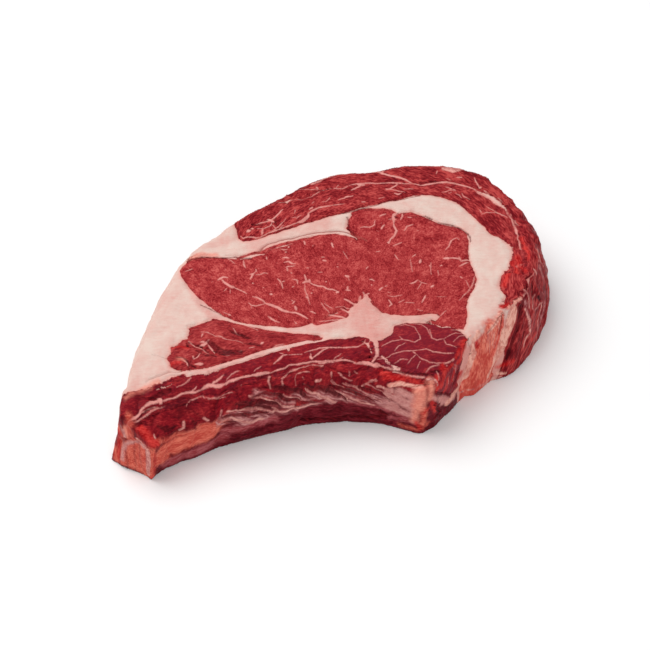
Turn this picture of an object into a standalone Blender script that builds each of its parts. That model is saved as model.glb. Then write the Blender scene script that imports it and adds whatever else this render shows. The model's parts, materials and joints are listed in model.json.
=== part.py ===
"""A raw bone-in ribeye steak, lying on its cut face.

Millimetres below are turned into metres where a mesh is made. The frame: +X runs along the
rib from its cut tip to the chine end, +Y from the rib side to the fat cap, +Z up. The origin
is at the middle of the underside, which is flat and stands on Z = 0.

The steak is one slab, shaped first as a whole: its plan outline, its leaning and bulging
walls, and a top face that rolls down to the rib. Every muscle is then a prism cut out of the
slab from top to bottom, the rib is a bar lofted along the near side, and what is left of the
slab is the fat between them.
"""

import math

import bmesh
import bpy
from mathutils import Matrix, Vector

MM = 0.001

# Driving sizes of the steak, in millimetres.
THICKNESS = 38.0
PIECE_GAP = 0.3
GRID_STEP = 10.0
FINE_STEP = 6.0
ROLL_ENDS_Y = -42.0
WALL_LEVELS = 4
CURVE_STEP = 5.0
CUTTER_REACH = 6.0
MITRE_LIMIT = 0.4
FLAT_WITHIN = 1e-7

# How far a muscle's foot lies from its top, because the fibres run at a slant.
FIBRE_SLANT = (-9.0, -5.0)

# The top face sinks towards the rib: at each place along X, by how much at the edge and
# over what width.
ROLL_DOWN = (
    (-90.0, 16.0, 30.0),
    (-62.0, 15.0, 28.0),
    (-46.0, 8.0, 20.0),
    (0.0, 7.0, 18.0),
    (20.0, 9.0, 14.0),
    (42.0, 9.0, 13.0),
    (60.0, 1.5, 8.0),
)

# Slow swells of the top face: height, wavelength, direction in degrees, phase.
SWELLS = (
    (0.45, 96.0, 20.0, 0.4),
    (0.35, 61.0, 105.0, 1.9),
    (0.20, 37.0, 63.0, 4.0),
)

# Hollows torn in the lean beside the rib: centre, radius, depth.
HOLLOWS = (
    ((-76.0, -75.0), 6.5, 3.0),
    ((-64.0, -68.0), 5.5, 2.4),
    ((6.0, -52.0), 6.0, 1.5),
)

# The wall's foot lies away from its rim: at a place on the rim, by how much.
FOOT_SHIFTS = (
    ((-102.0, -80.0), (-6.3, 1.0)),
    ((-86.0, -91.0), (-2.0, 0.0)),
    ((-96.0, -41.0), (-8.0, -3.0)),
    ((-78.0, 15.0), (-11.0, -6.0)),
    ((-46.0, 52.0), (-7.0, -6.0)),
    ((0.0, 81.0), (-3.0, -5.0)),
    ((44.0, 88.0), (0.0, -5.0)),
    ((81.0, 72.0), (4.0, -3.0)),
    ((97.0, 35.0), (9.0, 0.0)),
    ((93.0, 8.0), (10.5, 0.5)),
    ((80.0, -16.0), (9.0, -5.0)),
    ((66.0, -31.0), (3.0, -4.0)),
    ((55.0, -44.0), (2.0, 0.0)),
    ((45.0, -59.0), (0.0, 0.0)),
    ((37.0, -62.0), (0.0, -1.0)),
    ((8.0, -56.0), (0.0, 0.0)),
    ((-30.0, -62.0), (0.0, 0.0)),
    ((-60.0, -73.0), (0.0, 0.0)),
)

# The far and right walls belly out half way up.
BELLY = 2.8
BELLY_FROM_Y = -45.0
BELLY_FULL_Y = 0.0

# The plan outline of the top face, from the rib's tip round the fat cap to the chine.
# A point that comes twice is a corner.
SLAB_OUTLINE = (
    (-102, -80), (-102, -80), (-99, -64), (-96, -41), (-90, -20), (-83, 4), (-73, 24),
    (-60, 38), (-46, 52), (-30, 64), (-14, 75), (0, 81), (18, 84), (34, 89), (55, 88),
    (73, 82), (85, 68), (94, 52), (98, 30), (94, 8), (87, -6), (77, -19), (66, -31),
    (55, -44), (45, -59), (39, -62), (36, -62), (36, -62), (24, -58), (8, -56), (-12, -57),
    (-36, -64), (-58, -72), (-80, -84), (-87, -91), (-87, -91),
)

# Where the top face ends above the rib: the outline's near side, from the tip to the chine.
RIB_EDGE = (
    (-87, -91), (-58, -72), (-36, -64), (-12, -57), (8, -56), (24, -58), (36, -62), (46, -59),
    (60, -38),
)

EYE_OUTLINE = (
    (-79, 10), (-75, 17), (-66, 19), (-45, 18), (-38, 24), (-27, 27), (-17, 32), (-3, 35),
    (9, 32), (3, 39), (6, 51), (16, 54), (26, 53), (29, 50), (36, 52), (50, 45), (63, 38),
    (63, 19), (66, 5), (61, -9), (61, -20), (58, -30), (50, -27), (43, -25), (47, -20),
    (34, -21), (19, -19), (12, -8), (2, -17), (-18, -27), (-40, -27), (-53, -24),
    (-64, -15), (-74, -3),
)

SPINALIS_OUTLINE = (
    (-53, 38), (-49, 31), (-36, 35), (-10, 46), (10, 54), (30, 61), (43, 65), (58, 61),
    (67, 51), (77, 35), (84, 27), (84, 16), (77, 1), (80, -6), (79, -13), (86, -8),
    (89, 8), (88, 24), (87, 42), (80, 57), (66, 68), (50, 71), (12, 71), (-10, 66),
    (-27, 58), (-36, 67), (-54, 52),
)

OUTER_CAP_OUTLINE = (
    (-24, 62), (-10, 68), (12, 74), (50, 74), (68, 71), (83, 60), (90, 43), (91, 24),
    (92, 8), (89, -7), (84, -13), (88, -26), (120, -30), (120, 60), (90, 100), (30, 105),
    (-10, 92), (-28, 72),
)

EDGE_LEAN_OUTLINE = (
    (65, -36), (69, -30), (74, -24), (79, -18), (83, -26), (84, -46), (73, -49),
)

LEFT_LEAN_OUTLINE = (
    (-73, -31), (-74, -36), (-80, -42), (-82, -49), (-80, -54), (-73, -56), (-62, -53),
    (-50, -49), (-31, -41), (-11, -34), (-31, -31), (-45, -28), (-57, -25), (-67, -27),
)

UPPER_RIB_LEAN_OUTLINE = (
    (-120, -82), (-103, -72), (-89, -65), (-84, -66), (-71, -59), (-44, -50), (-17, -39),
    (-2, -36), (10, -38), (13, -46), (0, -48), (-17, -51), (-37, -57), (-64, -65),
    (-84, -73), (-97, -84), (-112, -96),
)

LOWER_RIB_LEAN_OUTLINE = (
    (-110, -100), (-95, -86), (-82, -75), (-63, -67), (-36, -59), (-17, -53), (0, -50),
    (13, -48), (21, -53), (32, -56), (41, -58), (47, -64), (40, -80), (0, -75), (-40, -85),
    (-80, -110),
)

CHINE_LEAN_OUTLINE = (
    (17, -37), (23, -33), (26, -28), (32, -26), (44, -27), (53, -29), (59, -35),
    (61, -39), (68, -53), (60, -68), (48, -59), (41, -55), (31, -53), (23, -50), (18, -45),
)

# The rib, as cross-sections along its run: place on the near wall, depth into the steak,
# height, and how far its near face is tucked in at the top under the lean.
RIB_SECTIONS = (
    ((-112.0, -106.0), 17.0, 22.0, 0.0),
    ((-84.0, -88.0), 16.0, 22.0, 0.0),
    ((-58.0, -72.0), 14.0, 21.0, 0.0),
    ((-44.0, -67.0), 14.0, 20.0, 4.0),
    ((-12.0, -57.0), 14.0, 20.0, 5.0),
    ((10.0, -56.0), 15.0, 21.0, 4.0),
    ((20.0, -57.0), 16.0, 24.0, 0.0),
    ((38.0, -62.0), 17.0, 25.0, 0.0),
)
RIB_OUTSIDE = 6.0
RIB_TUCK_FROM = 12.0
RIB_SHOULDER = 4.0

# The sawn chine at the rib's head.
CHINE_OUTLINE = ((25, -64), (28, -80), (60, -74), (66, -50), (50, -43), (40, -42), (28, -44), (25, -50))
CHINE_HEIGHT = 27.0
CHINE_SLOPE_FROM = (42.0, -56.0, 27.0)
CHINE_SLOPE_TO = (56.0, -46.0, 9.0)

LEAN_RED = (0.34, 0.035, 0.035)
CAP_RED = (0.27, 0.02, 0.02)
DARK_RED = (0.19, 0.015, 0.03)
FAT_CREAM = (0.80, 0.66, 0.58)
BONE_RED = (0.36, 0.09, 0.07)


def clear_scene():
    for obj in list(bpy.data.objects):
        bpy.data.objects.remove(obj)


def new_collection(name, hidden=False):
    collection = bpy.data.collections.new(name)
    bpy.context.scene.collection.children.link(collection)
    collection.hide_render = hidden
    return collection


def food_material(name, colour, roughness):
    material = bpy.data.materials.new(name)
    material.use_nodes = True
    shader = material.node_tree.nodes["Principled BSDF"]
    shader.inputs["Base Color"].default_value = (*colour, 1.0)
    shader.inputs["Roughness"].default_value = roughness
    shader.inputs["Metallic"].default_value = 0.0
    return material


def smooth_loop(points, outward=0.0):
    """A closed smooth curve through the points, moved outwards by a distance."""
    spots = [Vector(point).to_2d() for point in points]
    count = len(spots)
    curve = []
    for i in range(count):
        before, start, end, after = (spots[(i + k) % count] for k in (-1, 0, 1, 2))
        length = (end - start).length
        if length < 1e-6:
            continue
        steps = max(1, round(length / CURVE_STEP))
        pull_out = (end - before) / 6
        pull_in = (after - start) / 6
        for step in range(steps):
            t = step / steps
            curve.append(
                start * (1 - t) ** 3
                + (start + pull_out) * 3 * t * (1 - t) ** 2
                + (end - pull_in) * 3 * t * t * (1 - t)
                + end * t ** 3
            )
    turn = sum(curve[i - 1].cross(curve[i]) for i in range(len(curve)))
    side = 1.0 if turn > 0 else -1.0
    moved = []
    for i, spot in enumerate(curve):
        arriving = (spot - curve[i - 1]).normalized()
        leaving = (curve[(i + 1) % len(curve)] - spot).normalized()
        along = (arriving + leaving).normalized()
        across = Vector((along.y, -along.x)) * side
        moved.append(spot + across * outward / max(MITRE_LIMIT, along.dot(leaving)))
    return moved


def prism(name, loop, bottom, top, slant, collection):
    """An upright or slanted prism over a closed plan loop."""
    curve = bpy.data.curves.new(name + "_curve", "CURVE")
    curve.dimensions = "2D"
    curve.fill_mode = "BOTH"
    curve.extrude = (top - bottom) / 2 * MM
    spline = curve.splines.new("POLY")
    spline.points.add(len(loop) - 1)
    for point, spot in zip(spline.points, loop):
        point.co = (spot.x * MM, spot.y * MM, 0.0, 1.0)
    spline.use_cyclic_u = True
    guide = bpy.data.objects.new(name + "_guide", curve)
    bpy.context.scene.collection.objects.link(guide)
    guide.location.z = (top + bottom) / 2 * MM
    bpy.context.view_layer.update()
    graph = bpy.context.evaluated_depsgraph_get()
    mesh = bpy.data.meshes.new_from_object(guide.evaluated_get(graph))
    solid = bpy.data.objects.new(name, mesh)
    mesh.transform(guide.matrix_world)
    bpy.data.objects.remove(guide)
    collection.objects.link(solid)
    shell = bmesh.new()
    shell.from_mesh(mesh)
    bmesh.ops.remove_doubles(shell, verts=shell.verts, dist=1e-5)
    for vertex in shell.verts:
        down = 1 - vertex.co.z / (THICKNESS * MM)
        vertex.co.x += slant[0] * MM * down
        vertex.co.y += slant[1] * MM * down
    bmesh.ops.recalc_face_normals(shell, faces=shell.faces)
    shell.to_mesh(mesh)
    shell.free()
    return solid


def between(table, place):
    """Values read from a table of rows that start with their place along a line."""
    if place <= table[0][0]:
        return table[0][1:]
    for low, high in zip(table, table[1:]):
        if place <= high[0]:
            share = (place - low[0]) / (high[0] - low[0])
            share = share * share * (3 - 2 * share)
            return tuple(a + (b - a) * share for a, b in zip(low[1:], high[1:]))
    return table[-1][1:]


def distance_to_path(spot, path):
    nearest = math.inf
    for start, end in zip(path, path[1:]):
        a = Vector(start)
        run = Vector(end) - a
        share = min(1.0, max(0.0, (spot - a).dot(run) / run.length_squared))
        nearest = min(nearest, (spot - a - run * share).length)
    return nearest


def top_height(spot):
    """Height of the top face over a place in plan."""
    sink, width = between(ROLL_DOWN, spot.x)
    near = max(0.0, 1 - distance_to_path(spot, RIB_EDGE) / width)
    height = THICKNESS - sink * near * near
    for swell, wavelength, direction, phase in SWELLS:
        angle = math.radians(direction)
        along = spot.x * math.cos(angle) + spot.y * math.sin(angle)
        height += swell * (1 - near) * math.sin(2 * math.pi * along / wavelength + phase)
    for centre, radius, depth in HOLLOWS:
        share = max(0.0, 1 - (spot - Vector(centre)).length / radius)
        height -= depth * share * share * (3 - 2 * share)
    return height


def foot_shift(spot):
    """How far the wall's foot lies from its rim, blended from the nearest stated places."""
    total = Vector((0.0, 0.0))
    weights = 0.0
    for place, shift in FOOT_SHIFTS:
        weight = 1.0 / ((spot - Vector(place)).length_squared + 4.0) ** 2
        total += Vector(shift) * weight
        weights += weight
    return total / weights


def shape_slab(vertex):
    """Moves a vertex of the straight slab to where the real slab has it."""
    level = vertex.co.z / (THICKNESS * MM)
    spot = vertex.co.xy / MM
    shift = foot_shift(spot) * (1 - level)
    full = min(1.0, max(0.0, (spot.y - BELLY_FROM_Y) / (BELLY_FULL_Y - BELLY_FROM_Y)))
    shift += spot.normalized() * BELLY * full * 4 * level * (1 - level)
    vertex.co.z = level * top_height(spot) * MM
    vertex.co.xy = (spot + shift) * MM


def slice_mesh(shell, axis, start, stop, step):
    """Cuts a mesh along evenly spaced planes, so that it can be bent."""
    normal = [0.0, 0.0, 0.0]
    normal[axis] = 1.0
    place = start
    while place < stop:
        centre = [0.0, 0.0, 0.0]
        centre[axis] = place * MM
        geometry = shell.verts[:] + shell.edges[:] + shell.faces[:]
        bmesh.ops.bisect_plane(shell, geom=geometry, dist=1e-6, plane_co=centre, plane_no=normal)
        place += step


def make_slab(collection):
    slab = prism("steak_slab", smooth_loop(SLAB_OUTLINE), 0.0, THICKNESS, (0.0, 0.0), collection)
    shell = bmesh.new()
    shell.from_mesh(slab.data)
    slice_mesh(shell, 0, -99.3, 98.0, GRID_STEP)
    slice_mesh(shell, 1, -88.7, ROLL_ENDS_Y, FINE_STEP)
    slice_mesh(shell, 1, ROLL_ENDS_Y, 88.0, GRID_STEP)
    rise = THICKNESS / WALL_LEVELS
    slice_mesh(shell, 2, rise, THICKNESS - rise / 2, rise)
    bmesh.ops.triangulate(shell, faces=shell.faces)
    for vertex in shell.verts:
        shape_slab(vertex)
    underside = [face for face in shell.faces if all(v.co.z < FLAT_WITHIN for v in face.verts)]
    bmesh.ops.dissolve_faces(shell, faces=underside)
    bmesh.ops.triangulate(shell, faces=shell.faces)
    bmesh.ops.recalc_face_normals(shell, faces=shell.faces)
    shell.to_mesh(slab.data)
    shell.free()
    return slab


def rib_section(index):
    """The rib's cross-section at one station, as points in space."""
    place, depth, height, tuck = RIB_SECTIONS[index]
    before = Vector(RIB_SECTIONS[max(0, index - 1)][0])
    after = Vector(RIB_SECTIONS[min(len(RIB_SECTIONS) - 1, index + 1)][0])
    along = (after - before).normalized()
    inward = Vector((-along.y, along.x))
    profile = (
        (-RIB_OUTSIDE, -RIB_OUTSIDE),
        (-RIB_OUTSIDE, RIB_TUCK_FROM),
        (tuck * 0.5, RIB_TUCK_FROM + (height - RIB_TUCK_FROM) * 0.6),
        (tuck + RIB_SHOULDER, height),
        (depth - RIB_SHOULDER, height),
        (depth, height - RIB_SHOULDER),
        (depth, -RIB_OUTSIDE),
    )
    if tuck < 1.0:
        profile = (
            (-RIB_OUTSIDE, -RIB_OUTSIDE),
            (-RIB_OUTSIDE, RIB_TUCK_FROM),
            (-RIB_OUTSIDE, height),
            (RIB_SHOULDER, height),
            (depth - RIB_SHOULDER, height),
            (depth, height - RIB_SHOULDER),
            (depth, -RIB_OUTSIDE),
        )
    spot = Vector(place)
    return [Vector((*(spot + inward * inset), rise)) for inset, rise in profile]


def make_rib_bar(name, grow, collection):
    """The rib as a loft through its cross-sections, grown by a distance on every side."""
    shell = bmesh.new()
    rings = []
    for index in range(len(RIB_SECTIONS)):
        ring = [shell.verts.new(point * MM) for point in rib_section(index)]
        rings.append([shell.edges.new((ring[k - 1], ring[k])) for k in range(len(ring))])
    for first, second in zip(rings, rings[1:]):
        bmesh.ops.bridge_loops(shell, edges=first + second)
    bmesh.ops.holes_fill(shell, edges=rings[0] + rings[-1], sides=0)
    bmesh.ops.triangulate(shell, faces=shell.faces)
    bmesh.ops.recalc_face_normals(shell, faces=shell.faces)
    shell.normal_update()
    moves = [vertex.normal * vertex.calc_shell_factor() * grow * MM for vertex in shell.verts]
    for vertex, move in zip(shell.verts, moves):
        vertex.co += move
    mesh = bpy.data.meshes.new(name)
    shell.to_mesh(mesh)
    shell.free()
    bar = bpy.data.objects.new(name, mesh)
    collection.objects.link(bar)
    return bar


def make_chine_block(name, grow, collection):
    """The sawn block at the rib's head, lower towards its far corner."""
    loop = smooth_loop(CHINE_OUTLINE, grow)
    block = prism(name, loop, -RIB_OUTSIDE, CHINE_HEIGHT + grow, (0.0, 0.0), collection)
    high = Vector(CHINE_SLOPE_FROM)
    low = Vector(CHINE_SLOPE_TO)
    run = low - high
    upward = run.cross(Vector((-run.y, run.x, 0.0))).normalized()
    shell = bmesh.new()
    shell.from_mesh(block.data)
    geometry = shell.verts[:] + shell.edges[:] + shell.faces[:]
    place = (high + upward * grow) * MM
    bmesh.ops.bisect_plane(
        shell, geom=geometry, dist=1e-7, plane_co=place, plane_no=upward, clear_outer=True
    )
    bmesh.ops.holes_fill(shell, edges=shell.edges[:], sides=0)
    bmesh.ops.recalc_face_normals(shell, faces=shell.faces)
    shell.to_mesh(block.data)
    shell.free()
    return block


def combine(target, other, operation):
    """Applies one Boolean to the target's mesh."""
    modifier = target.modifiers.new(operation.lower(), "BOOLEAN")
    modifier.operation = operation
    modifier.solver = "EXACT"
    modifier.object = other
    bpy.context.view_layer.update()
    graph = bpy.context.evaluated_depsgraph_get()
    mesh = bpy.data.meshes.new_from_object(target.evaluated_get(graph))
    target.modifiers.remove(modifier)
    target.data = mesh


def make_bone_solid(name, grow, collection):
    bone = make_rib_bar(name, grow, collection)
    block = make_chine_block(name + "_block", grow, collection)
    combine(bone, block, "UNION")
    bpy.data.objects.remove(block)
    return bone


def drop_scraps(obj):
    """Keeps the largest body of a cut piece."""
    shell = bmesh.new()
    shell.from_mesh(obj.data)
    bmesh.ops.remove_doubles(shell, verts=shell.verts, dist=1e-6)
    bodies = []
    waiting = set(shell.verts)
    while waiting:
        body = {waiting.pop()}
        front = list(body)
        while front:
            vertex = front.pop()
            for edge in vertex.link_edges:
                other = edge.other_vert(vertex)
                if other in waiting:
                    waiting.remove(other)
                    body.add(other)
                    front.append(other)
        bodies.append(body)
    keep = max(bodies, key=len)
    bmesh.ops.delete(shell, geom=[v for v in shell.verts if v not in keep], context="VERTS")
    shell.to_mesh(obj.data)
    shell.free()


def copy_of(source, name, collection):
    twin = bpy.data.objects.new(name, source.data.copy())
    collection.objects.link(twin)
    return twin


def muscle_cutter(name, outline, grow, collection):
    loop = smooth_loop(outline, grow)
    return prism(name, loop, -CUTTER_REACH, THICKNESS + CUTTER_REACH, FIBRE_SLANT, collection)


def finish(obj, material):
    drop_scraps(obj)
    obj.data.materials.clear()
    obj.data.materials.append(material)
    obj.data.shade_smooth()
    obj.data.set_sharp_from_angle(angle=math.radians(35))


def centre_in_plan(pieces, cutters):
    """Puts the middle of the whole steak's plan box on the origin."""
    places = [vertex.co for piece in pieces for vertex in piece.data.vertices]
    low = Vector((min(co.x for co in places), min(co.y for co in places), 0.0))
    high = Vector((max(co.x for co in places), max(co.y for co in places), 0.0))
    for obj in [*pieces, *cutters]:
        obj.data.transform(Matrix.Translation((low + high) / -2))


MUSCLES = (
    ("eye_muscle", EYE_OUTLINE, LEAN_RED),
    ("cap_muscle", SPINALIS_OUTLINE, CAP_RED),
    ("outer_cap_muscle", OUTER_CAP_OUTLINE, CAP_RED),
    ("edge_lean", EDGE_LEAN_OUTLINE, LEAN_RED),
    ("left_lean", LEFT_LEAN_OUTLINE, CAP_RED),
    ("upper_rib_lean", UPPER_RIB_LEAN_OUTLINE, CAP_RED),
    ("lower_rib_lean", LOWER_RIB_LEAN_OUTLINE, CAP_RED),
    ("chine_lean", CHINE_LEAN_OUTLINE, DARK_RED),
)


def build():
    clear_scene()
    steak = new_collection("bone_in_ribeye_steak")
    cutters = new_collection("cutters", hidden=True)
    slab = make_slab(cutters)
    bone_room = make_bone_solid("bone_room", PIECE_GAP, cutters)

    fat = copy_of(slab, "fat", steak)
    for name, outline, colour in MUSCLES:
        muscle = muscle_cutter(name, outline, 0.0, steak)
        room = muscle_cutter(name + "_room", outline, PIECE_GAP, cutters)
        combine(muscle, slab, "INTERSECT")
        combine(muscle, bone_room, "DIFFERENCE")
        combine(fat, room, "DIFFERENCE")
        finish(muscle, food_material(name, colour, 0.35))
    combine(fat, bone_room, "DIFFERENCE")
    finish(fat, food_material("fat", FAT_CREAM, 0.4))

    bone = make_bone_solid("rib_bone", 0.0, steak)
    combine(bone, slab, "INTERSECT")
    finish(bone, food_material("rib_bone", BONE_RED, 0.35))
    centre_in_plan(steak.objects, cutters.objects)

    for cutter in cutters.objects:
        cutter.hide_render = True
        cutter.display_type = "WIRE"


build()
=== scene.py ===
"""How a raw bone-in ribeye steak looks: its muscles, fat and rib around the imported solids.

Lengths in the tables are millimetres in the steak's own frame: +X along the rib from its cut
tip to the chine, +Y from the rib to the fat cap, +Z up. Each muscle, the fat and the rib is a
fine copy of its own solid, rounded, furrowed and roughened. It carries what its finish follows
as attributes: how far a place is from the seam between lean and fat, how deep it lies in a
vein, a furrow, a hollow or a streak of membrane, and which way the fibres run.
"""

import itertools
import math

import bpy
import numpy as np
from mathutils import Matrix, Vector
from mathutils.bvhtree import BVHTree
from mathutils.kdtree import KDTree
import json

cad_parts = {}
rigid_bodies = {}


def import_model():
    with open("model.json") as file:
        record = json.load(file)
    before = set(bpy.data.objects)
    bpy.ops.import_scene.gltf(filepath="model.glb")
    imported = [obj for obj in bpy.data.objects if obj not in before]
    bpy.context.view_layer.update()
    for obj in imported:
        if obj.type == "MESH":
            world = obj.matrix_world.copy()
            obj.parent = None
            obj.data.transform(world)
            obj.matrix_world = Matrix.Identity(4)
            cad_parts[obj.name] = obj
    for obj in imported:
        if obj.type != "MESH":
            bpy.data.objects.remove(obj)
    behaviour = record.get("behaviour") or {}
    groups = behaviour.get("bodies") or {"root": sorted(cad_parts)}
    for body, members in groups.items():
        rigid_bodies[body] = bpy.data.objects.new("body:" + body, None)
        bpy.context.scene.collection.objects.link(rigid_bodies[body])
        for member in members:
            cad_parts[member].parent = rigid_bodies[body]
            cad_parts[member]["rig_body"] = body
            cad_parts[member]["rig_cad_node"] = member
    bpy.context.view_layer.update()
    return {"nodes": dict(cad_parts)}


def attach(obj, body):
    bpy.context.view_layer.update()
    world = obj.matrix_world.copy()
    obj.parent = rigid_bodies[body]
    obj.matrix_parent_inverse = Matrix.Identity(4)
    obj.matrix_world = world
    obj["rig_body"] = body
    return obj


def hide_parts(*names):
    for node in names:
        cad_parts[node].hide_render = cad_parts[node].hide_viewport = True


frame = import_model()

MM = 0.001
THICKNESS = 38.0

# A fibre's foot lies this far from its top, so veins run through the thickness at a slant.
FIBRE_SLANT = np.array((-9.0, -5.0))

# Longest edges of a finished mesh: where it is seen, on the two widest pieces, at a vein or
# another thin stroke, against a neighbour, and underneath.
COARSE = 1.0
SEEN_EDGE = 1.0 * COARSE
WIDE_EDGE = 1.25 * COARSE
STROKE_EDGE = 0.5 * COARSE
STROKE_MARGIN = 0.5
REFINING_ROUNDS = 16
INNER_EDGE = 8.0
UNDER_EDGE = 1.5 * COARSE
GAP_CLOSING = 0.22
NEIGHBOUR_REACH = 0.8
SEEN, INNER, UNDER = 0, 1, 2

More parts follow.
